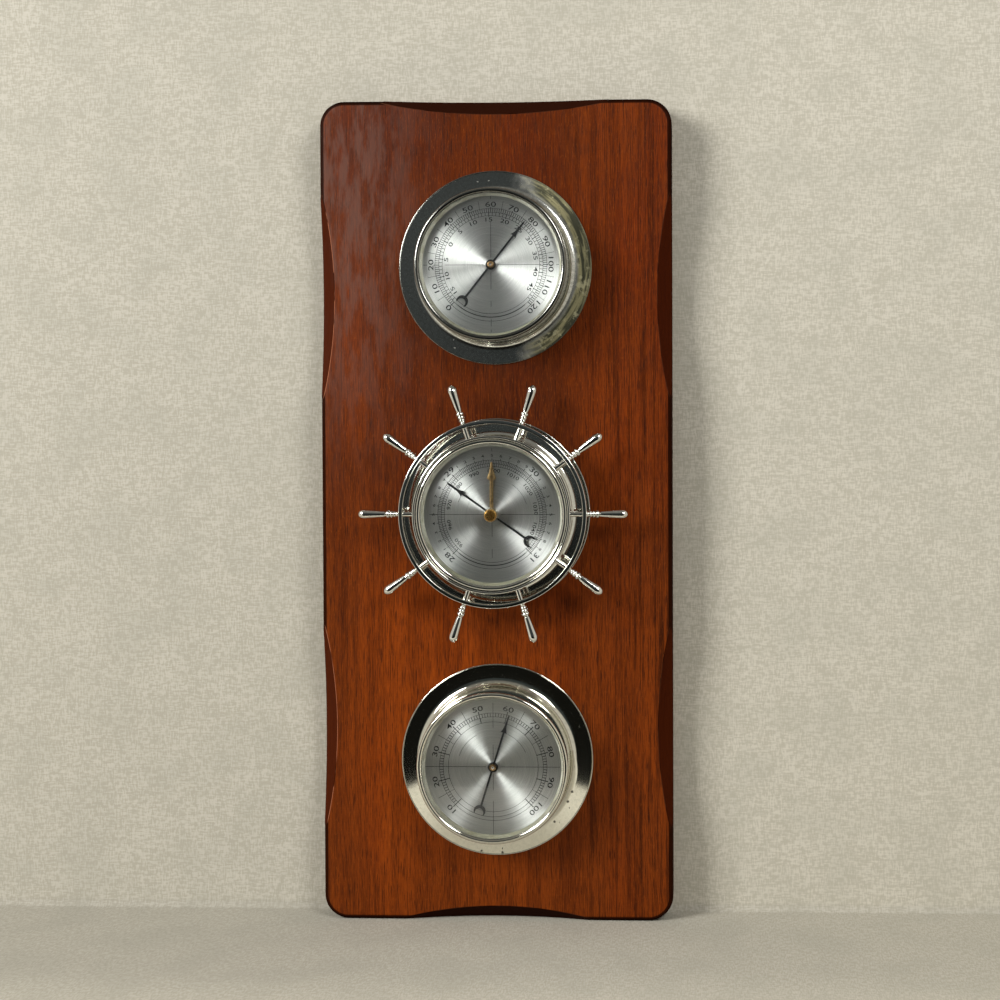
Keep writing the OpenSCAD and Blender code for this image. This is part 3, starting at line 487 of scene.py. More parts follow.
def outline(step=1.5, corner_steps=22):
    """The rounded rectangle, anticlockwise from the lower right, with its outward normals and
    the size of the scallop's cut at each point. Each quarter is a side and the corner after it."""
    rows = []
    reach_z, reach_x = half_h - corner_r, half_w - corner_r
    for quarter in range(4):
        upright = quarter % 2 == 0
        reach = reach_z if upright else reach_x
        edge = half_w if upright else half_h
        along = np.linspace(-reach, reach, int(2 * reach / step), endpoint=False)
        if upright:
            cut = np.maximum(chamfer_size(along - side_scallop_at, side_scallop),
                             chamfer_size(along + side_scallop_at, side_scallop))
        else:
            cut = chamfer_size(along, top_scallop if quarter == 1 else bottom_scallop)
        turn = np.linspace(0, math.pi / 2, corner_steps, endpoint=False)
        x = np.concatenate([np.full(len(along), edge), edge - corner_r + corner_r * np.cos(turn)])
        y = np.concatenate([along, reach + corner_r * np.sin(turn)])
        nx = np.concatenate([np.ones(len(along)), np.cos(turn)])
        ny = np.concatenate([np.zeros(len(along)), np.sin(turn)])
        cut = np.concatenate([cut, np.full(corner_steps, no_cut)])
        c, s = round(math.cos(quarter * math.pi / 2)), round(math.sin(quarter * math.pi / 2))
        rows.append(np.stack([c * x - s * y, s * x + c * y, c * nx - s * ny, s * nx + c * ny, cut], -1))
    return np.concatenate(rows)


print("outline of", len(outline()), "points")

# %% [markdown]
# A band of surface runs round the outline. At each point of the outline, the band's section is
# found by looking out from a point 12 mm inside the edge: a ray stops at the side, the rounded
# edge or the scallop, whichever comes first. More rays go where the scallop's plane meets the
# rest, so that its crease stays crisp.

# %% The plank's edge
eye_in = 12.0
crease_r = 0.2
crease_angle = 0.045
no_crease = -2.5
back_edge = np.array([(0.6, 0.0), (0.18, 0.18), (0.0, 0.6)])


def look_angles(cut):
    """Angles from the inner point: those of the scallop's two creases with a few rows close to
    each, and even steps before, between and after them."""
    on_arc = np.clip((2 * edge_r - cut) / math.sqrt(2) / edge_r, -1, 1)
    half_turn = np.arccos(np.clip(on_arc, math.sqrt(0.5), 1))
    theta = math.pi / 4 + np.array([-1, 1]) * half_turn
    crease_in = np.where(cut > edge_r, [[0.0, 1.0]] * cut, edge_r - edge_r * np.cos(theta))
    crease_up = np.where(cut > edge_r, [[-1.0, 0.0]] * cut, -edge_r + edge_r * np.sin(theta))
    crease = np.arctan2(eye_in + crease_up, eye_in - crease_in)
    first, last = crease[:, :1], crease[:, 1:]
    close = np.linspace(-crease_angle, crease_angle, 5)[None, :]
    parts = [np.linspace(0, 1, 7)[None, :-1] * (first - crease_angle),
             first + close,
             first + (last - first) * np.linspace(0, 1, 12)[None, 1:-1],
             last + close,
             last + (math.pi / 2 - last) * np.linspace(0, 1, 8)[None, 1:]]
    return np.sort(np.concatenate([np.broadcast_to(p, (len(cut), p.shape[1])) for p in parts], 1), 1)


def edge_band():
    """For a look angle b, the plain edge lies at a distance rho and the scallop's plane at
    (2 eye_in - cut) / (sin b + cos b). The nearer one wins, and a soft minimum rounds the crease.
    Gives the points, how far the scallop cuts into the plain edge, and the depth inwards."""
    rim = outline()
    cut = np.maximum(rim[:, 4:5], no_cut)
    look = look_angles(cut)
    sin, cos = np.sin(look), np.cos(look)
    slope = sin / np.maximum(cos, 1e-9)
    arc_in = eye_in - edge_r
    to_arc = arc_in * (sin + cos)
    on_arc = to_arc + np.sqrt(np.maximum(to_arc ** 2 - 2 * arc_in ** 2 + edge_r ** 2, 0))
    plain = np.where(slope <= arc_in / eye_in, eye_in / np.maximum(cos, 1e-9),
                     np.where(slope >= eye_in / arc_in, eye_in / np.maximum(sin, 1e-9), on_arc))
    scallop = (2 * eye_in - cut) / (sin + cos)
    gap = plain - scallop
    rho = np.minimum(plain, scallop) - crease_r * np.log1p(np.exp(-np.abs(gap) / crease_r))
    back_shape = (len(rim), len(back_edge))
    depth = np.concatenate([np.broadcast_to(back_edge[:, 0], back_shape), eye_in - rho * cos], 1)
    height = np.concatenate([np.broadcast_to(back_edge[:, 1], back_shape), thick - eye_in + rho * sin], 1)
    gap = np.concatenate([np.full(back_shape, no_crease), gap], 1)
    x = rim[:, 0:1] - rim[:, 2:3] * depth
    z = rim[:, 1:2] - rim[:, 3:4] * depth
    points = np.stack([x * mm, -height * mm, middle_z + z * mm], -1)
    return points, np.clip(gap, no_crease, -no_crease), depth


band, crease_gap, band_inset = edge_band()
print("edge band", band.shape[0], "x", band.shape[1], "points")

# %% [markdown]
# The flat faces have three round holes for the drums, and the back also has a milled recess for
# the keyhole plate, with a deeper pocket that the nail's head slides in. A triangle fill makes a
# flat area out of any set of closed loops, so a loop is all that each hole needs.

# %% Loops and flat areas
def loop(shape, depth_mm):
    """A closed outline (x, z) in mm, at a depth from the back."""
    x, z = shape
    return np.stack([x * mm, np.full(len(x), -depth_mm * mm), z * mm], -1)


def circle(radius, z_mm, count=160):
    """A circle of even steps round (0, z)."""
    turn = np.linspace(0, 2 * math.pi, count, endpoint=False)
    return radius * np.cos(turn), z_mm + radius * np.sin(turn)


def obround(radius, half_length, z_mm, count=96):
    """A slot with round ends: a circle whose upper and lower halves are drawn apart."""
    x, z = circle(radius, 0.0, count)
    return x, z_mm + z + np.where(z >= 0, 1, -1) * (half_length - radius)


def fill(*loops):
    """Triangles over the flat area between loops."""
    sizes = [len(one) for one in loops]
    starts = np.cumsum([0] + sizes[:-1])
    edges = np.concatenate([np.stack([s + np.arange(n), s + (np.arange(n) + 1) % n], -1)
                            for s, n in zip(starts, sizes)])
    mesh = bpy.data.meshes.new("fill")
    mesh.from_pydata(np.concatenate(loops).tolist(), edges.tolist(), [])
    flat = bmesh.new()
    flat.from_mesh(mesh)
    bmesh.ops.triangle_fill(flat, edges=flat.edges[:], use_beauty=True)
    flat.to_mesh(mesh)
    flat.free()
    points = np.zeros(len(mesh.vertices) * 3)
    mesh.vertices.foreach_get("co", points)
    corners = np.zeros(len(mesh.polygons) * 3, int)
    mesh.polygons.foreach_get("vertices", corners)
    bpy.data.meshes.remove(mesh)
    return points.reshape(-1, 3), corners.reshape(-1, 3)


def wall(shape, start, end):
    """A wall that follows one outline from a depth to another."""
    return np.stack([loop(shape, start), loop(shape, end)]), grid_faces(2, len(shape[0]), False, True)


# %% [markdown]
# The plank is put together from the band, the walls of its holes and the flat areas between
# them. The recess is as large as the keyhole plate in the CAD, with a little play.

# %% The plank's shape
hole_r = 49.0
plate_z = -4.5
plate_play = 0.05
recess_depth, pocket_depth, pilot_depth = 1.5, 9.5, 15.0
pilot_r, pilot_away = 1.73, 17.0

pocket_r, pocket_half = 9.0, 13.5

plate_low, plate_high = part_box("keyhole_plate")
recess = obround((plate_high.x - plate_low.x) / 2 / mm + plate_play,
                 (plate_high.z - plate_low.z) / 2 / mm + plate_play, plate_z)
pocket = obround(pocket_r, pocket_half, plate_z)
drum_holes = [circle(hole_r, centre.z / mm) for centre in centres.values()]
pilots = [circle(pilot_r, plate_z + pilot_away * side, 24) for side in (-1, 1)]

parts = [(band, grid_faces(*band.shape[:2], True, False))]
parts += [wall(hole, thick, 0.0) for hole in drum_holes]
parts += [wall(recess, 0.0, recess_depth), wall(pocket, recess_depth, pocket_depth),
          fill(loop(pocket, pocket_depth))]
for pilot in pilots:
    parts += [wall(pilot, recess_depth, pilot_depth), fill(loop(pilot, pilot_depth))]
parts.append(fill(*[loop(shape, recess_depth) for shape in (recess, pocket, *pilots)]))
parts.append(fill(band[:, -1], *[loop(hole, thick) for hole in drum_holes]))
parts.append(fill(band[:, 0], *[loop(shape, 0.0) for shape in (*drum_holes, recess)]))
plank_shape = join(*parts)

plank_values = {}
for key, on_band, elsewhere in (("crease", crease_gap, no_crease), ("inset", band_inset, eye_in)):
    plank_values[key] = np.full(len(plank_shape[0]), elsewhere)
    plank_values[key][:on_band.size] = on_band.ravel()
print("plank", len(plank_shape[1]), "faces")

# %% [markdown]
# The wood's finish is a red-brown stain under a worn satin varnish. First come the broad changes
# of tone: the board is lighter low down and darker in its upper middle and on its right.

# %% Stain in broad patches
wood, here = new_finish("stained wood", IOR=1.48)
across, _, along = split(here)

stain_and_painted_light = mix(blotches(here, (0.010, 0.010, 0.0045), 0.38, 0.62, 3.0), (92, 40, 12), (124, 52, 10))
stain_and_painted_light = layer(stain_and_painted_light, blotches(here, (0.022, 0.022, 0.006), 0.5, 0.68, 3.0, shift=3.0), 0.4, (112, 36, 6))
stain_and_painted_light = layer(stain_and_painted_light, between(along, -120.0, -420.0), 0.45, (136, 60, 6))
right_side = between(across, 20.0, 100.0)
stain_and_painted_light = layer(stain_and_painted_light, right_side, 0.30, (98, 40, 8))
upper_middle = between(abs(across + 22.0), 110.0, 40.0) * between(along, -290.0, -190.0)
stain_and_painted_light = layer(stain_and_painted_light, upper_middle, 0.50, (46, 18, 5))
print("broad stain on", wood.name)

# %% [markdown]
# Noise that is stretched along the grain gives the wood straight dark lines a few millimetres
# apart, short dark pores and pale flecks. A little noise the other way gives the fine cross
# figure. A thin line is where smooth noise passes its middle value.

# %% Grain
broad = blotches(here, (0.20, 0.20, 0.0060), 0.50, 0.66, 3.0, 0.6, shift=17.0)
stain_and_painted_light = mix(broad * scaled_sum(right_side, 0.30, 0.22), stain_and_painted_light, (48, 16, 3))
stain_and_painted_light = layer(stain_and_painted_light, blotches(here, (0.09, 0.09, 0.0016), 0.42, 0.62), 0.35, (74, 27, 4))
line = between(abs(noise(here, (0.50, 0.50, 0.0030)) - 0.5), 0.050, 0.012)
whole = blotches(here, (0.45, 0.45, 0.018), 0.38, 0.58, shift=13.0)
stain_and_painted_light = mix(line * whole * (right_side * 0.32 + 0.34), stain_and_painted_light, (36, 12, 2))
streak = noise(here, (1.5, 1.5, 0.10), 3.0, 0.75, shift=1.3)
stain_and_painted_light = layer(stain_and_painted_light, between(streak, 0.46, 0.70), 0.50, (58, 21, 4))
stain_and_painted_light = layer(stain_and_painted_light, between(streak, 0.48, 0.28), 0.32, (150, 70, 12))
pores = blotches(here, (2.2, 2.2, 0.085), 0.57, 0.66, 1.0, shift=5.0)
stain_and_painted_light = layer(stain_and_painted_light, pores, 0.62, (30, 10, 2))
stain_and_painted_light = layer(stain_and_painted_light, blotches(here, (2.0, 2.0, 0.30), 0.62, 0.74, 1.0, shift=11.0), 0.24, (160, 84, 30))
stain_and_painted_light = layer(stain_and_painted_light, blotches(here, (0.10, 0.10, 0.85), 0.5, 0.75, 3.0, 0.65, shift=2.0), 0.16, (72, 27, 5))
print("grain in", wood.name)

# %% [markdown]
# A mottled mauve sheen is painted over the upper left. The sides, the rounded edge, the scallops
# and the faces that look up or down are painted almost black as shade, and the back took less
# stain. A pale line along the scallops' creases, stronger on the left, is partly wear and partly a
# painted highlight. The two attributes of the edge band tell the shader where it is.

# %% Painted sheen, painted shade and wear
# Painted sheen: a mottled mauve tone over the upper left.
painted_sheen_centre = (-112.0, -19.0, -40.0)
painted_sheen = between(vector("DISTANCE", here, painted_sheen_centre), 215.0, 20.0)
mottled = blotches(here, (0.11, 0.11, 0.028), 0.40, 0.60, 4.0, 0.65, shift=4.0)
painted_sheen = painted_sheen * scaled_sum(mottled, 0.80, 0.20) * between(across, -20.0, -95.0)
stain_and_painted_light = layer(stain_and_painted_light, painted_sheen, 0.58, (104, 76, 66))

_, normal_y, normal_z = split(add(here.tree, "TexCoord", output="Normal"))
to_viewer = normal_y * -1.0
gap = add(here.tree, "Attribute", output="Fac", attribute_name="crease")
inset = add(here.tree, "Attribute", output="Fac", attribute_name="inset")
not_back = between(to_viewer, -0.90, -0.50)
stain_and_painted_light = mix(not_back, mix(0.35, stain_and_painted_light, (150, 104, 66)), stain_and_painted_light)
# Painted shade: the sides, the rounded edge and the scallops, which turn away from the front, are darkened.
side_face = maths("MAXIMUM", between(to_viewer, 0.999, 0.95), between(inset, 3.3, 2.5)) * not_back
stain_and_painted_light = layer(stain_and_painted_light, side_face, 0.90, mix(between(gap, -0.1, 0.5), (22, 8, 4), (58, 20, 6)))
# Painted shade on the faces that look up or down.
stain_and_painted_light = layer(stain_and_painted_light, between(abs(normal_z), 0.20, 0.55), 0.72, (16, 6, 3))

# A pale line along the scallops' creases, stronger on the left and on faces towards the front: partly wear,
# partly painted highlight.
worn = between(abs(gap), 0.30, 0.08) * blotches(here, 0.05, 0.40, 0.52, 3.0, shift=8.0)
left_most = scaled_sum(between(across, -60.0, -95.0), 0.88, 0.12)
stain_and_painted_light = layer(stain_and_painted_light, worn * left_most * between(to_viewer, 0.80, 0.90), 0.75, (168, 104, 74))
gloss = scaled_sum(noise(here, (0.2, 0.2, 0.05), 3.0), 0.22, 0.30)
finishes["stained_wood"] = dress(wood, (streak * 0.6 - pores, 0.25, 0.12), Base_Color=stain_and_painted_light,
                                 Specular_IOR_Level=scaled_sum(side_face, -0.07, 0.08),
                                 Roughness=gloss + pores * 0.15)
make_piece("plank", plank_shape, "stained_wood", "backboard", sharp=30, values=plank_values)

# %% [markdown]
# Everything round is turned: a closed outline in radius and height goes once round the dial's
# axis. Rounding a corner of the outline eases an edge all the way round.

# %% Turned shapes
def arc(centre, radius, start, end, steps):
    """Points on a circle in (radius, height), by angles in degrees."""
    turn = np.radians(np.linspace(start, end, steps + 1))
    return np.stack([centre[0] + radius * np.cos(turn), centre[1] + radius * np.sin(turn)], -1)


def oblong(inner, outer, low, high):
    """The outline of a plain ring between two radii and two heights."""
    return [(inner, low), (outer, low), (outer, high), (inner, high)]


def rounded(corners, radius, steps=4):
    """Rounds the corners of a closed outline: each corner becomes a curve between two points
    that lie radius away from it, drawn as a quadratic Bezier with the corner as its middle."""
    corners = np.asarray(corners, float)
    to_last = np.roll(corners, 1, 0) - corners
    to_next = np.roll(corners, -1, 0) - corners
    last_l = np.linalg.norm(to_last, axis=1, keepdims=True)
    next_l = np.linalg.norm(to_next, axis=1, keepdims=True)
    reach = np.minimum(np.broadcast_to(radius, last_l.shape), 0.45 * np.minimum(last_l, next_l))
    start, end = corners + to_last / last_l * reach, corners + to_next / next_l * reach
    t = np.linspace(0, 1, steps + 1)[None, :, None]
    curve = (1 - t) ** 2 * start[:, None] + 2 * t * (1 - t) * corners[:, None] + t ** 2 * end[:, None]
    return curve.reshape(-1, 2)


def lathe(section, steps):
    """Each point (r, h) of the section becomes the circle (r sin a, r cos a) at height h."""
    section = np.asarray(section, float)
    r, h = section[None, :, 0], section[None, :, 1]
    turn = round_turn(steps)
    return grid_points(r * np.sin(turn), r * np.cos(turn), h), grid_faces(steps, len(section))


def turned(section, name, steps=480):
    """A turned shape in its place on a dial."""
    points, faces = lathe(section, steps)
    return place(points, name), faces


# %% [markdown]
# A bezel is spun from thin sheet, so its outline goes up the outside and back down the inside,
# 0.8 mm apart: a rolled bead, a wide flange, a cove, an upright wall and a rounded lip. The
# barometer's flange is a little narrower, so that it ends under the wheel's rim.

# %% The bezels' section
flanges = {"thermometer": 62.5, "barometer": 61.0, "hygrometer": 62.5}
wall_r, bezel_h, sheet_t = 48.4, 27.5, 0.8
cove_r, lip_r, bead_r = 5.0, 1.7, 0.5


def bezel_section(flange_r):
    """The sheet's outside from lip to bead, and its inside back to the lip."""
    cove_at = (wall_r + cove_r, sheet_t + cove_r)
    lip_at = (wall_r - lip_r, bezel_h - lip_r)
    return np.concatenate([
        arc(cove_at, cove_r + sheet_t, 270, 180, 14),
        arc(lip_at, lip_r - sheet_t, 0, 180, 14),
        arc(lip_at, lip_r, 180, 0, 28),
        arc(cove_at, cove_r, 180, 270, 20),
        arc((flange_r - bead_r, bead_r), bead_r, 143, -90, 22)])


print("bezel", len(bezel_section(flanges["thermometer"])), "points in its section")

# %% [markdown]
# A pattern that follows a ring needs its radius, the direction out from its middle, and a place
# for noise that hardly changes round the turn. Both the tarnish and the brushing use them.

# %% Patterns round a dial
def from_middle(here, centre):
    """The way from a dial's middle, in mm."""
    return vector("SUBTRACT", here, (centre.x / mm, 0.0, centre.z / mm))


def round_the_dial(off, turn_mm):
    """Radius, direction out, and a place that moves by the radius along y and by turn_mm times
    the direction out in x and z."""
    flat = vector("MULTIPLY", off, (1.0, 0.0, 1.0))
    radius = vector("LENGTH", flat)
    out = vector("NORMALIZE", flat)
    outwards = add(off.tree, "CombineXYZ", {1: radius})
    return radius, out, vector("ADD", scaled(out, turn_mm), outwards)


# %% [markdown]
# The bezels are plated and polished brass. A mirror's colour is what stands before it, so the
# finish is mostly low roughness; what tells the three apart is their wear. The thermometer's
# flange is pitted and has turned olive on its right, the hygrometer's has lost chips of plating
# low down, and the barometer's is bright with a few dark specks.

# %% Plated finishes
def tarnish_over(base, off):
    """Olive tarnish in streaks round the right half of a flange, with pale and dark spots, and a
    dark film on the lip and the bead, partly tarnish and partly painted shade that dims the lamps'
    glints there. Gives the tone and how far the tarnish has spread."""
    radius, _, ring_place = round_the_dial(off, 2.6)
    cloud = noise(off, 0.06, 3.0, 0.55, shift=5.1)
    right_part = between(split(off)[0] + cloud * 26.0, 24.0, 44.0)
    spread = right_part * between(radius, 51.0, 55.0)
    streaks = blotches(ring_place, (1.0, 0.42, 1.0), 0.40, 0.60, 4.0, 0.55, shift=2.4)
    mossy = mix(streaks, (66, 66, 48), (152, 146, 108))
    mossy = layer(mossy, blotches(off, 0.22, 0.56, 0.66, 4.0, 0.6, shift=8.0), 0.7, (192, 186, 148))
    mossy = layer(mossy, blotches(off, 0.55, 0.58, 0.66, 4.0, 0.7, shift=1.0), 0.65, (44, 42, 30))
    # Dark film on the lip and the bead: partly tarnish, partly painted shade that dims the lamps' glints.
    film = maths("MAXIMUM", between(radius, 49.0, 48.2) * 0.7, between(radius, 61.2, 61.8) * 0.4)
    return mix(film, mix(spread, base, mossy), (70, 70, 64)), spread


def plated(name, tint, roughness, centre, tarnished=False, pits=(), pit_r=0.85, pit_tone=None, specks=0.0):
    """Polished plating with fine wipe marks, tarnish, pits or chips at given places (mm right
    and up from the middle), and dark specks."""
    material, here = new_finish(name, Metallic=1.0)
    off = from_middle(here, centre)
    wipe = noise(here, 0.5, 4.0, 0.7)
    base = layer(tint, between(wipe, 0.35, 0.68), 1.0 if tarnished else 0.3, (178, 179, 172))
    rough = scaled_sum(wipe, roughness, roughness * 0.6)
    if tarnished:
        base, spread = tarnish_over(base, off)
        rough = rough + spread * 0.34
        dress(material, Metallic=add(here.tree, "Mix", {0: spread, 2: 1.0, 3: 0.45}))
    wobbled = vector("ADD", off, add(here.tree, "TexNoise", {"Vector": here, "Scale": 0.6}, "Color"))
    for pit_x, pit_z in pits:
        pit = add(here.tree, "CombineXYZ", {0: pit_x + 0.5, 1: split(off)[1], 2: pit_z + 0.5})
        dot = between(vector("DISTANCE", wobbled, pit), pit_r, 0.5 * pit_r)
        base = layer(base, dot, 0.8, pit_tone)
        rough = rough + dot * 0.35
    if specks:
        lost = blotches(off, (0.55, 0.55, 0.30), 0.66, 0.70, 5.0, 0.7, shift=6.0) * specks
        base = mix(lost, base, (40, 36, 28))
        rough = rough + lost * 0.5
    return dress(material, (wipe, 0.015, 0.1), Base_Color=base, Roughness=rough)


flange_pits = [(-11.3, 55.5), (-3.7, 56.1), (-23.4, 47.2), (-29.1, 42.2), (-50.6, 15.6), (-27.2, -46.5),
               (-26.5, -51.6)]
flange_chips = [(37.1, -40.4), (48.6, -20.9), (45.8, -27.4), (-10.6, -59.8), (3.2, -61.0)]
finishes["thermometer_bezel_metal"] = plated(
    "tarnished nickel", (214, 214, 208), 0.15, centres["thermometer"],
    tarnished=True, pits=flange_pits, pit_tone=(184, 182, 168))
finishes["barometer_bezel_metal"] = plated(
    "bright nickel", (222, 222, 214), 0.07, centres["barometer"], specks=0.5)
finishes["hygrometer_bezel_metal"] = plated(
    "worn nickel", (226, 224, 212), 0.06, centres["hygrometer"],
    pits=flange_chips, pit_r=1.3, pit_tone=(36, 30, 22), specks=1.0)
for name in centres:
    make_piece(name + "_bezel_spun", turned(bezel_section(flanges[name]), name),
               name + "_bezel_metal", name + "_bezel")

# %% [markdown]
# Between glass and dial sits a cream ring with a sloping face, which hides the dial's cut edge
# and throws light back on the scale. It is turned like the bezel, with its corners rounded off.
# Its lower half is darker and more olive, and an attribute tells the shader how low a point is.

# %% Cream rings
seat_r, dial_h, glass_h, glass_t = 47.4, 21.0, 24.3, 1.5
cream_section = rounded([(43.2, dial_h), (seat_r, dial_h), (seat_r, glass_h), (45.2, glass_h)], 0.2)

material, here = new_finish("cream enamel", Roughness=0.38, IOR=1.5)
tint = mix(blotches(here, 0.09, 0.42, 0.66, 5.0, 0.65), (164, 162, 148), (136, 133, 114))
dust = blotches(here, 1.6, 0.58, 0.70, 3.0, 0.6)
tint = layer(tint, dust, 0.3, (112, 106, 80))
lowness = add(here.tree, "Attribute", output="Fac", attribute_name="lowness")
# Darker and more olive towards the bottom.
tint = layer(tint, between(lowness, -0.4, 0.9), 0.85, (74, 72, 52))
finishes["cream_ring"] = dress(material, (dust, 0.1, 0.1), Base_Color=tint)
for name, centre in centres.items():
    points, faces = turned(cream_section, name)
    make_piece(name + "_cream_ring", (points, faces), "cream_ring", name + "_spacer_ring", sharp=50,
               values={"lowness": (centre.z - points[..., 2]).ravel() / mm / seat_r})

# %% [markdown]
# The glasses are flat discs. The glass bends and mirrors light for the eye, and lets the lamps'
# rays straight through to the dial, which is quicker and keeps the dial bright. The barometer's
# glass has a hole for the set knob's shaft, and the others close at a pole in the middle.

# %% Glass
knob_hole_r = 1.75
glass_edge_r = 0.12


def see_through_finish(name, tint, roughness, ior, clearness=1.0):
    """Clear stuff: it is glass to the eye and open to a lamp's ray."""
    material, here = new_finish(name, IOR=ior, Roughness=roughness, Transmission_Weight=clearness)
    smear = blotches(here, (0.06, 0.06, 0.02), 0.35, 0.65, 4.0, 0.6)
    dress(material, Base_Color=mix(smear, tint, (1.0, 1.0, 1.0, 1.0)))
    return open_to_light(material, add(here.tree, "LightPath", output="Is Shadow Ray"), tint)


finishes["clear_glass"] = see_through_finish("clear glass", (0.97, 0.985, 0.975, 1.0), 0.0, 1.5)
finishes["clear_plastic"] = see_through_finish("clear plastic", (0.66, 0.66, 0.52, 1.0), 0.06, 1.49, 0.93)
for name in centres:
    hole = knob_hole_r if name == "barometer" else 0.0
    corners = oblong(hole, seat_r, glass_h, glass_h + glass_t)
    section = rounded(corners, glass_edge_r)
    if not hole:
        outer_edge = section[len(section) // 4:3 * len(section) // 4]
        section = np.concatenate([corners[:1], outer_edge, corners[3:]])
    make_piece(name + "_glass_disc", turned(section, name, 192), "clear_glass", name + "_glass")

# %% [markdown]
# The dials are aluminium, brushed in circles. Light on such a face gathers into two opposite
# fans, because each scratch mirrors only along its own direction. The shader does the same when
# its tangent points out from the dial's middle and its highlight is stretched.

# %% Brushed dials
def brushed_dial(name, centre, tone, stretch, roughness):
    """Aluminium brushed in circles round the centre: rings of noise in radius, almost even
    round the turn, tint the face and scatter its gloss. The less stretch, the wider the fans."""
    material, here = new_finish(name, Metallic=1.0, Anisotropic=stretch)
    _, out, ring_place = round_the_dial(from_middle(here, centre), 1.1)
    coarse = noise(ring_place, (0.8, 1.6, 0.8), 2.0, 0.6)
    fine = noise(ring_place, (1.5, 9.0, 1.5), 2.0, 0.6, shift=3.0)
    lines = scaled_sum(fine, 0.65, coarse * 0.35)
    dark, bright = (tuple(level * tone for level in screen) for screen in ((186, 187, 184), (214, 214, 210)))
    tint = mix(between(lines, 0.35, 0.65), dark, bright)
    tint = layer(tint, blotches(here, 0.7, 0.70, 0.76, 3.0, 0.5, shift=9.0), 0.35, (120, 116, 96))
    return dress(material, (lines, 0.06, 0.05), Base_Color=tint, Tangent=out,
                 Roughness=scaled_sum(lines, 0.12, roughness))


dial_looks = {"thermometer": (0.96, 0.93, 0.33), "barometer": (0.93, 1.0, 0.30),
              "hygrometer": (0.92, 1.0, 0.29)}
for name, centre in centres.items():
    dial = nodes[name + "_dial"]
    dial.data.materials.clear()
    dial.data.materials.append(brushed_dial(name + " brushed aluminium", centre, *dial_looks[name]))
print("three dials brushed")

# %% [markdown]
# The scales are printed in dark grey. Ticks and arcs are thin raised bands: each runs between
# two radii and two angles, so one function draws a tick, an arc and a whole circle.

# %% Ticks, arcs and lines
ink_low, ink_high = dial_h - 0.02, dial_h + 0.03


def ink_bands(rows, steps):
    """Rows of (inner radius, outer radius, start, end) in mm and degrees clockwise from the
    top. Each band has steps + 1 rings of four corners, and two end caps."""
    rows = np.asarray(rows, float).reshape(-1, 4)
    turn = np.radians(rows[:, 2:3] + (rows[:, 3:4] - rows[:, 2:3]) * np.linspace(0, 1, steps + 1)[None])
    radius = rows[:, [0, 1, 1, 0]][:, None, :]
    height = np.array([ink_low, ink_low, ink_high, ink_high])
    points = grid_points(radius * np.sin(turn)[..., None], radius * np.cos(turn)[..., None], height)
    caps = np.array([[0, 1, 2, 3], [3, 2, 1, 0]])
    caps[1] += 4 * steps
    faces = np.concatenate([grid_faces(steps + 1, 4, False, True), caps])
    return points.reshape(-1, 3), repeated(faces, 4 * (steps + 1), len(rows))


def ticks(angles, inner, outer, width):
    """Radial ticks of an even width at the given angles."""
    angles = np.asarray(angles, float)
    half = np.degrees(width / (inner + outer))
    return ink_bands(np.stack([np.full(len(angles), inner), np.full(len(angles), outer),
                               angles - half, angles + half], -1), 1)


def scale_arc(radius, start=0.05, end=359.95, width=0.24):
    """An arc, or by default a whole circle with a seam too thin to see."""
    return ink_bands([(radius - width / 2, radius + width / 2, start, end)], max(8, int((end - start) / 2)))


def straight(x0, y0, x1, y1, width=0.26):
    """A straight printed line, as a thin box."""
    start, end = np.array([x0, y0], float), np.array([x1, y1], float)
    normal = np.array([y0 - y1, x1 - x0]) / np.linalg.norm(end - start) * width / 2
    ring = np.array([start - normal, end - normal, end + normal, start + normal])
    points = np.concatenate([np.column_stack([ring, np.full(4, level)]) for level in (ink_low, ink_high)])
    sides = [[k, (k + 1) % 4, (k + 1) % 4 + 4, k + 4] for k in range(4)]
    return points, [[0, 1, 2, 3], [4, 5, 6, 7]] + sides


def cross_lines(up, down, left, right):
    """Fine lines from the middle outwards, each way as pairs of (start, end) radii."""
    lines = [straight(0, a, 0, b) for a, b in up] + [straight(0, -b, 0, -a) for a, b in down]
    return lines + [straight(-b, 0, -a, 0) for a, b in left] + [straight(a, 0, b, 0) for a, b in right]


print("ink stands", round(ink_high - dial_h, 2), "mm proud")

# %% [markdown]
# Numbers are text objects, made into meshes, stretched wide and stood round the dial. A digit of
# this font is about seven tenths as high as the text's size.

# %% Numbers
digit_share = 0.70
bolder = 0.008


def number(value, angle, radius, height_mm, wide=1.6):
    """A number stood on the dial with its head outwards, as (points, faces). The font's digits
    are stretched wide, and the offset makes their strokes a little bolder."""
    curve = bpy.data.curves.new("number", "FONT")
    curve.body = str(value)
    curve.size = height_mm / digit_share
    curve.offset = bolder * height_mm
    curve.align_x = "CENTER"
    curve.extrude = (ink_high - ink_low) / 2
    curve.resolution_u = 3
    letter = bpy.data.objects.new("number", curve)
    bpy.context.scene.collection.objects.link(letter)
    mesh = bpy.data.meshes.new_from_object(letter.evaluated_get(bpy.context.evaluated_depsgraph_get()))
    flat = np.zeros(len(mesh.vertices) * 3)
    mesh.vertices.foreach_get("co", flat)
    flat = flat.reshape(-1, 3)
    faces = [list(polygon.vertices) for polygon in mesh.polygons]
    bpy.data.objects.remove(letter)
    bpy.data.curves.remove(curve)
    bpy.data.meshes.remove(mesh)
    middle = (flat[:, 0].min() + flat[:, 0].max()) / 2
    x, y = clockwise((flat[:, 0] - middle) * wide, flat[:, 1] - height_mm / 2 + radius, angle)
    return np.stack([x, y, flat[:, 2] + (ink_low + ink_high) / 2], -1), faces


print("a digit of 3.2 mm is text of size", round(3.2 / digit_share, 2), "mm")

# %% [markdown]
# Each dial has its own scale over 270 degrees. A short formula turns a reading into an angle,
# clockwise from the top, and ranges of readings place the ticks and numbers. Only numbers, lines
# and arcs are drawn.

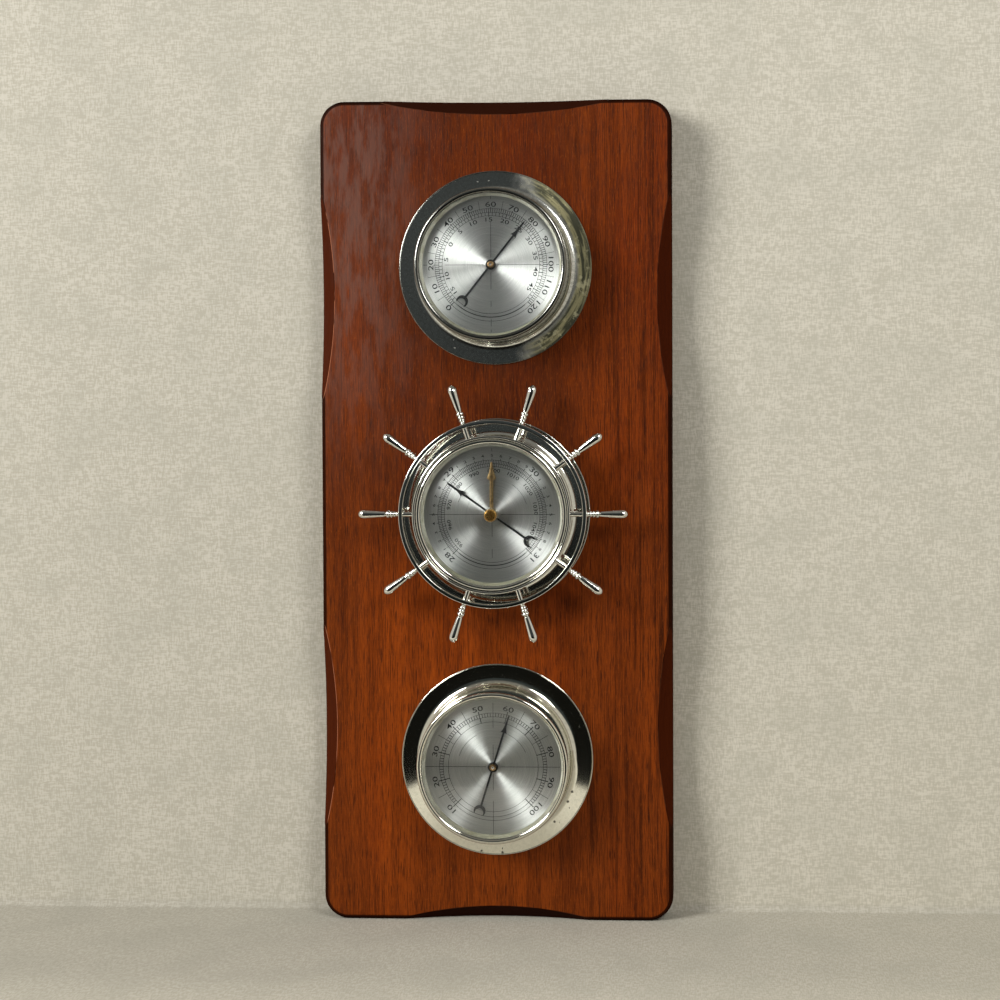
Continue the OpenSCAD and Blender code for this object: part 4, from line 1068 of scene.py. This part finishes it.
# %% The three scales
def thermometer_print():
    """Fahrenheit 0 to 120 outside and Celsius -15 to 45 inside."""
    degree_f = lambda f: (np.asarray(f, float) - 60) * 2.25
    degree_c = lambda c: degree_f(np.asarray(c, float) * 1.8 + 32)
    inner, middle, outer = 30.8, 32.9, 35.4
    every_f, fives_c = np.arange(0, 121), np.arange(-15, 46, 5)
    parts = [scale_arc(inner), scale_arc(middle), scale_arc(middle, 140, 220, 0.5), scale_arc(outer),
             ticks(degree_f(every_f), middle, outer, 0.36),
             ticks(degree_f(every_f[::10]), middle, 36.2, 0.45),
             ticks(degree_f(every_f[5::10]), outer, 40.6, 0.22),
             ticks(degree_c(np.arange(-17, 49)), inner, middle, 0.33),
             ticks(degree_c(fives_c), 30.2, 33.6, 0.45)]
    parts += [number(f, degree_f(f), 38.0, 3.2) for f in every_f[::10]]
    parts += [number(abs(c), degree_c(c), 28.5, 2.6) for c in fives_c]
    return parts + cross_lines([(4.5, 27.1), (41.2, 43.0)],
                               [(4.5, 15.3), (22.8, 26.4), (34.0, 38.7), (40.7, 42.5)],
                               [(4.5, 29.2), (40.3, 43.0)],
                               [(4.5, 31.8), (41.2, 43.0)])


def barometer_print():
    """Inches 28 to 31 outside and millibars 950 to 1050 inside."""
    inch = lambda value: (np.asarray(value, float) - 29.5) * 90
    millibar = lambda value: inch(np.asarray(value, float) / 33.8639)
    inner, middle, outer = 30.4, 32.3, 34.5
    whole, tenths, tens = (28, 29, 30, 31), np.arange(280, 311) / 10, np.arange(950, 1050, 10)
    parts = [scale_arc(inner), scale_arc(middle), scale_arc(middle, 139, 221, 0.5), scale_arc(outer),
             ticks(inch(np.arange(1400, 1551) / 50), middle, outer, 0.29),
             ticks(inch(tenths), middle, 35.6, 0.34),
             ticks(inch(whole), inner, 35.6, 0.5),
             ticks(millibar(np.arange(949, 1050)), inner, middle, 0.27),
             ticks(millibar(tens), 29.9, middle, 0.40),
             scale_arc(22.95, -70, -31, 0.2), scale_arc(22.95, 34, 73, 0.2)]
    parts += [number(v, inch(v), 38.2, 3.2) for v in whole]
    parts += [number(round(v * 10) % 10, inch(v), 37.4, 1.7) for v in tenths if round(v * 10) % 10]
    parts += [number(v, millibar(v), 27.9, 2.3, 1.35) for v in tens]
    return parts + cross_lines([(5.5, 30.0), (40.0, 41.8)], [(5.5, 14.3), (21.9, 27.6)],
                               [(5.5, 40.0)], [(5.5, 40.0)])


def hygrometer_print():
    """Relative humidity, 10 to 100."""
    percent = lambda value: (np.asarray(value, float) - 55) * 3
    inner, middle, outer = 28.6, 31.8, 34.15
    every = np.arange(10, 101)
    parts = [scale_arc(inner), scale_arc(middle), scale_arc(outer),
             ticks(percent(every), middle, outer, 0.38),
             ticks(percent(every[::10]), inner, 36.0, 0.5),
             ticks(percent(every[5::10]), inner, 40.2, 0.24),
             scale_arc(22.6, -72, -28, 0.2), scale_arc(22.6, 25, 66, 0.2)]
    parts += [number(v, percent(v), 37.9, 3.2) for v in every[::10]]
    return parts + cross_lines([(4.5, 14.0), (25.0, 40.7)], [(4.5, 14.9), (21.8, 43.0)],
                               [(4.5, 43.0)], [(4.5, 42.5)])


material, here = new_finish("scale ink", Roughness=0.6, Specular_IOR_Level=0.1)
ink = dress(material, Base_Color=mix(blotches(here, 1.2, 0.4, 0.7, 3.0, 0.6), (14, 15, 16), (40, 41, 40)))
for name, drawn in (("thermometer", thermometer_print()), ("barometer", barometer_print()),
                    ("hygrometer", hygrometer_print())):
    points, faces = join(*drawn)
    make_piece(name + "_scale", (place(points, name), faces), "dial_aluminium", finish=ink)

# %% [markdown]
# A pointer is stamped from thin steel and painted black. Its outline is drawn for the right half
# only and mirrored: a needle tip, a barbed head with hollow sides, a shank, a ring round the hub
# and a crescent tail. The flat shape gets its thickness with a tiny chamfer on its front edge.

# %% Flat stamped shapes
def stamped(shape, low, high, angle, name, chamfer=0.06):
    """Three rings of the same outline: low, just under the top, and moved in at the top along
    the outline's own normals by the chamfer. Both flat faces are filled. Then the plate is turned
    clockwise and placed on a dial."""
    before, after = np.roll(shape, 1, 0), np.roll(shape, -1, 0)
    along_edge = after - before
    inward = np.stack([-along_edge[:, 1], along_edge[:, 0]], -1)
    inward /= np.maximum(np.linalg.norm(inward, axis=1, keepdims=True), 1e-9)
    area = 0.5 * np.sum(shape[:, 0] * after[:, 1] - after[:, 0] * shape[:, 1])
    top = shape + inward * chamfer * (1 if area > 0 else -1)
    rings = [np.column_stack([ring, np.full(len(ring), h)])
             for ring, h in ((shape, low), (shape, high - chamfer), (top, high))]
    parts = [(np.stack(rings), grid_faces(3, len(shape), False, True))]
    for ring in (rings[2], rings[0]):
        lid, triangles = fill(ring[:, [0, 2, 1]] * mm)
        parts.append((lid[:, [0, 2, 1]] / mm, triangles))
    points, faces = join(*parts)
    points[:, 0], points[:, 1] = clockwise(points[:, 0], points[:, 1], angle)
    return place(points, name), faces


def mirrored(half):
    """Adds the left half of an outline whose right half starts and ends on the axis."""
    left = half[::-1] * [-1, 1]
    return np.concatenate([half, left[np.abs(left[:, 0]) > 1e-6]])


def pointer_half(ring_r, shank=0.62):
    """The right half of a pointer at twelve o'clock, from its tip to the crescent's middle. The
    head's hollow side is a quadratic Bezier."""
    t = np.linspace(0, 1, 12)[:, None]
    hollow = (1 - t) ** 2 * [0.66, 27.4] + 2 * t * (1 - t) * [0.95, 24.7] + t ** 2 * [2.25, 22.5]
    ring_end = math.degrees(math.asin(shank / ring_r))
    ring = arc((0, 0), ring_r, 90 - ring_end, -90 + ring_end, 24)
    outer = arc((0, -29.2), 3.75, 80, -35, 26)
    inner = arc((0, -30.35), 2.75, -21, 90, 26)
    return np.concatenate([[[0.0, 34.9], [0.5, 33.3]], hollow, [[1.95, 22.8], [shank, 23.2]],
                           ring, outer, inner])


material, here = new_finish("black enamel", Roughness=0.45, Specular_IOR_Level=0.25)
dust = noise(here, 1.3, 4.0, 0.6)
tint = mix(between(dust, 0.45, 0.75), (15, 15, 16), (36, 35, 33))
finishes["black_enamel"] = dress(material, (dust, 0.1, 0.05), Base_Color=tint)

readings = {"thermometer": 38.4, "barometer": -54.6, "hygrometer": 17.3}
ring_radii = {"thermometer": 3.25, "barometer": 2.6, "hygrometer": 3.25}
blade_low, blade_high = 21.9, 22.3
for name, angle in readings.items():
    blade = stamped(mirrored(pointer_half(ring_radii[name])), blade_low, blade_high, angle, name)
    make_piece(name + "_black_pointer", blade, "black_enamel", name + "_pointer", name + "_hand", 30)

# %% [markdown]
# Brass bosses hold the thermometer's and hygrometer's pointers on their arbors. A boss has a tone
# of its own in the middle, pale on the hygrometer's and dark on the thermometer's, and a painted
# dark reflection on its outer slope. An attribute gives the shader the distance from the middle,
# and goes round with the hand.

# %% Brass and bosses
def brass_finish(name, bright, dark, roughness, middle=None):
    """Brass with darker patina in clouds and fine turning lines. A boss also has a tone of its own in
    the middle and a painted dark reflection on its rim, by its attribute "radius" in mm."""
    material, here = new_finish(name, Metallic=1.0)
    patina = noise(here, 0.5, 4.0, 0.6)
    fine = noise(here, 6.0, 2.0, 0.6)
    tint = mix(between(patina, 0.38, 0.66), bright, dark)
    if middle:
        radius = add(here.tree, "Attribute", output="Fac", attribute_name="radius")
        tint = mix(between(radius, 1.05, 0.75), tint, middle)
        # Painted dark reflection on the boss's outer slope.
        tint = mix(between(radius, 1.85, 2.15), tint, (58, 46, 32))
    return dress(material, (fine, 0.08, 0.05), Base_Color=tint,
                 Roughness=scaled_sum(patina, 0.25, roughness))


finishes["brass"] = brass_finish("old brass", (214, 170, 96), (150, 108, 52), 0.16)
boss_section = [(0.0, 22.3), (2.42, 22.3), (2.42, 22.85), (2.2, 23.15), (1.6, 23.35), (1.1, 23.4),
                (0.8, 23.3), (0.62, 23.1), (0.55, 23.12), (0.3, 23.25), (0.0, 23.28)]
for name, middle in (("thermometer", (128, 98, 60)), ("hygrometer", (226, 220, 204))):
    boss_brass = brass_finish(name + " boss brass", (186, 154, 112), (126, 98, 64), 0.16, middle)
    points, faces = turned(boss_section, name, 64)
    radius = np.hypot(points[..., 0] - centres[name].x, points[..., 2] - centres[name].z).ravel() / mm
    make_piece(name + "_brass_boss", (points, faces), "brass", name + "_hub", name + "_hand",
               finish=boss_brass, values={"radius": radius})

# %% [markdown]
# The barometer has a set hand in front of its pointer: a half-round brass hand with a spade head,
# worked by the fluted knob in front of the glass, to mark the last reading. Its outline is a list
# of half widths along the hand, and each cross-section is half an ellipse on a flat back.

# %% Set hand
hand_back, hand_step, hand_crown = 23.2, 0.02, 0.45
bore_r = 1.53


def set_hand():
    """Along the hand, t sets its half width w. Across it, a point is (w cos u, t, h) with the
    height h = back + step + rise sin u, and the rise grows with the width up to 0.6 mm."""
    knots = np.array([(0.0, 0.9), (1.0, 1.25), (20.5, 1.2), (21.6, 1.1), (22.4, 2.45), (22.9, 2.8),
                      (23.4, 2.8), (24.6, 2.45), (26.2, 1.85), (27.8, 1.35), (28.7, 1.15), (28.9, 1.4),
                      (29.7, 1.4), (29.9, 0.95), (31.5, 0.85), (33.0, 0.7), (33.5, 0.05)])
    t = np.unique(np.concatenate([np.linspace(0, knots[-1, 0], 70), knots[:, 0]]))[:, None]
    w = np.interp(t, knots[:, 0], knots[:, 1])
    u = np.linspace(0, math.pi, 15)[None]
    rise = 0.15 + hand_crown * np.clip(w / 1.2, 0.2, 1)
    x = np.concatenate([w * np.cos(u), -w, w], 1)
    back = np.full_like(w, hand_back)
    h = np.concatenate([hand_back + rise * np.sin(u) + hand_step, back, back], 1)
    columns = x.shape[1]
    last = (len(t) - 1) * columns
    faces = grid_faces(len(t), columns, False, True).tolist()
    faces += [list(range(columns)), list(range(last, last + columns))[::-1]]
    return grid_points(x, t, h).reshape(-1, 3), faces


ring_round_shaft = lathe(rounded(oblong(bore_r, 2.5, hand_back, 24.1), 0.15), 64)
points, faces = join(set_hand(), ring_round_shaft)
dull_brass = brass_finish("dull brass", (150, 126, 88), (100, 80, 52), 0.20)
make_piece("brass_set_hand", (place(points, "barometer"), faces), "brass", "set_hand", "marker",
           finish=dull_brass)

# %% [markdown]
# The knob's flutes are worked into its radius: it shrinks a little eighteen times round the turn,
# but only on its upright side. A clear washer lies under it on the glass.

# %% Fluted knob and washer
knob_r, knob_low, knob_high = 4.0, 26.4, 31.6
flute_count, flute_depth = 18, 0.34


def fluted_knob(steps=216):
    """Radius at height h, less a flute depth that follows a sharpened cosine of the turn times
    the number of flutes, and fades out over the rounded top edge."""
    corners = [(3.85, knob_low), (knob_r, 26.7), (knob_r, 31.0), (3.3, knob_high)]
    eased = rounded(corners, 0.25, 5)
    side = np.stack([np.full(6, knob_r), np.linspace(27.2, 30.2, 6)], -1)
    section = np.concatenate([[(0.0, knob_low)], eased[:5], side, eased[11:],
                              [(2.4, 31.52), (1.2, 31.45), (0.0, 31.44)]])
    turn = round_turn(steps)
    r, h = section[None, :, 0], section[None, :, 1]
    on_side = np.clip((r - 3.0) / 0.9, 0, 1) * np.clip((knob_high - h) / 0.5, 0, 1)
    r = r - on_side * flute_depth * np.clip(np.cos(flute_count * turn), 0, 1) ** 1.5
    points = grid_points(r * np.sin(turn), r * np.cos(turn), h)
    return place(points, "barometer"), grid_faces(steps, len(section), True, False)


shaft = turned(oblong(0.0, 1.5, hand_back, 26.5), "barometer", 48)
make_piece("fluted_knob", join(fluted_knob(), shaft), "brass", "set_knob", "marker", 40)
washer = rounded(oblong(bore_r, 4.8, 25.82, 26.38), 0.15)
make_piece("clear_washer", turned(washer, "barometer", 96), "clear_plastic", "knob_washer", "marker")

# %% [markdown]
# The ship's wheel is chromed. Its nave slips round the barometer's bezel, and the rim has a flat
# front with eased edges. Ten turned spokes run through the rim and end in handles: a collar, two
# beads, a ring and a swelling grip. A lathe makes them in brass before plating.

# %% Ship's wheel
rim_inner, rim_outer, rim_low, rim_high = 57.4, 60.2, 15.0, 21.0
finishes["bright_chrome"] = plated("bright chrome", (232, 232, 226), 0.07, centres["barometer"], specks=0.35)
nave = rounded(oblong(48.45, 50.15, rim_low, 27.9), [[0.3], [0.3], [0.85], [0.85]], 8)
rim = rounded(oblong(rim_inner, rim_outer, rim_low, rim_high), 0.7, 6)
for name, section in (("nave", nave), ("rim", rim)):
    make_piece("chromed_" + name, turned(section, "barometer"), "bright_chrome", "wheel_" + name)

neck_r, grip_r = 1.6, 3.1
grip_start, tip_start, tip_l = 8.9, 21.6, 4.4


def half_round(s, at, radius, half):
    """A bead on the neck: an ellipse's upper half, whose crest has the given radius."""
    arch = np.sqrt(np.clip(1 - ((s - at) / half) ** 2, 0, 1))
    return np.where(np.abs(s - at) < half, neck_r + (radius - neck_r) * arch, 0)


def spoke_radius(s):
    """The turned outline by distance s out from the rim: the largest of the shaft, a flared
    collar, half-round beads, the straight swelling grip and its rounded tip."""
    shaft_part = np.where(s > grip_start, 0, np.where(s <= 0, 1.7, neck_r))
    flare = np.where((s >= 0) & (s < 1.7), neck_r + 1.0 * np.clip(1 - s / 1.7, 0, 1) ** 2, 0)
    swell = 2.0 + 1.1 * np.clip((s - 9) / 12.6, 0, 1) ** 0.9
    grip = np.where((s >= grip_start) & (s <= tip_start), swell, 0)
    in_tip = np.maximum(s - tip_start, 0) / tip_l
    tip = np.where(s > tip_start, grip_r * np.sqrt(np.clip(1 - in_tip ** 2.2, 0, 1)), 0)
    beads = [half_round(s, at, radius, half) for at, radius, half in
             ((2.6, 2.15, 0.75), (4.6, 2.35, 0.95), (6.9, 2.65, 1.1))]
    return np.maximum.reduce([shaft_part, flare, *beads, grip, tip])


def wheel_spokes(count=10, steps=28):
    """One spoke is turned about the line out from the hub, and a turn about the hub makes the
    next. Along the spoke, s starts inside the nave and is close together where the handle turns."""
    tip_s = tip_start + tip_l * np.sin(np.linspace(0, math.pi / 2, 12))
    s = np.unique(np.concatenate([[-11.7, -0.01, 0.0], np.linspace(0, grip_start, 62),
                                  np.linspace(grip_start, tip_start, 16), tip_s]))
    r = np.concatenate([[0.0], spoke_radius(s)])[None, None, :]
    out = rim_outer + np.concatenate([s[:1], s])[None, None, :]
    round_spoke = round_turn(steps)[None]
    sideways = r * np.cos(round_spoke)
    height = (rim_low + rim_high) / 2 + r * np.sin(round_spoke)
    round_hub = 360.0 / count * np.arange(count)[:, None, None]
    x, y = clockwise(out, sideways, -round_hub)
    faces = repeated(grid_faces(steps, out.size, True, False), steps * out.size, count)
    return place(grid_points(x, y, height).reshape(-1, 3), "barometer"), faces


make_piece("chromed_spokes", wheel_spokes(), "bright_chrome", "wheel_spokes", sharp=30)

# %% [markdown]
# The rest is behind the dials or on the plank's back: pressed cases, spring clips, coils, bridges,
# screws and the barometer's movement. Their CAD shapes are right as they are, so each only gets
# the finish of its material slot, with its own grain and wear.

# %% Finishes of the parts behind
def metal(name, bright, dark, roughness, stretch, grain_mm):
    """A plain metal with clouds of tone, rolling lines and fine scratches."""
    material, here = new_finish(name, Metallic=1.0)
    rolled = noise(here, stretch, 2.0, 0.6, shift=3.0)
    both = scaled_sum(rolled, 0.5, noise(here, 0.12, 4.0, 0.6) * 0.5)
    return dress(material, (rolled, 0.12, grain_mm), Base_Color=mix(between(both, 0.38, 0.62), bright, dark),
                 Roughness=scaled_sum(both, 0.3, roughness))


metals = {
    "steel": ("spring steel", (150, 152, 154), (104, 106, 108), 0.25, (0.6, 0.6, 5.0), 0.05),
    "case_steel": ("pressed tin plate", (176, 176, 170), (136, 134, 124), 0.28, (0.4, 3.0, 3.0), 0.05),
    "coil_bronze": ("bimetal strip", (190, 140, 96), (132, 96, 66), 0.25, 1.5, 0.03),
    "humidity_strip": ("humidity strip", (196, 178, 132), (150, 132, 92), 0.45, 1.5, 0.03),
    "capsule_metal": ("tinned capsule", (192, 188, 172), (150, 146, 130), 0.25, 1.5, 0.03),
    "dial_aluminium": ("mill aluminium", (200, 201, 198), (168, 169, 166), 0.3, 1.5, 0.02),
}
for slot, look in metals.items():
    finishes[slot] = metal(*look)

for subpart in frame["record"]["subparts"]:
    node = nodes[subpart["node"]]
    if node.hide_render or subpart["node"].endswith("_dial"):
        continue
    finish = finishes[subpart["material_slot"]]
    node.data.materials.clear()
    node.data.materials.append(finish)
    print(subpart["node"], "in", finish.name)
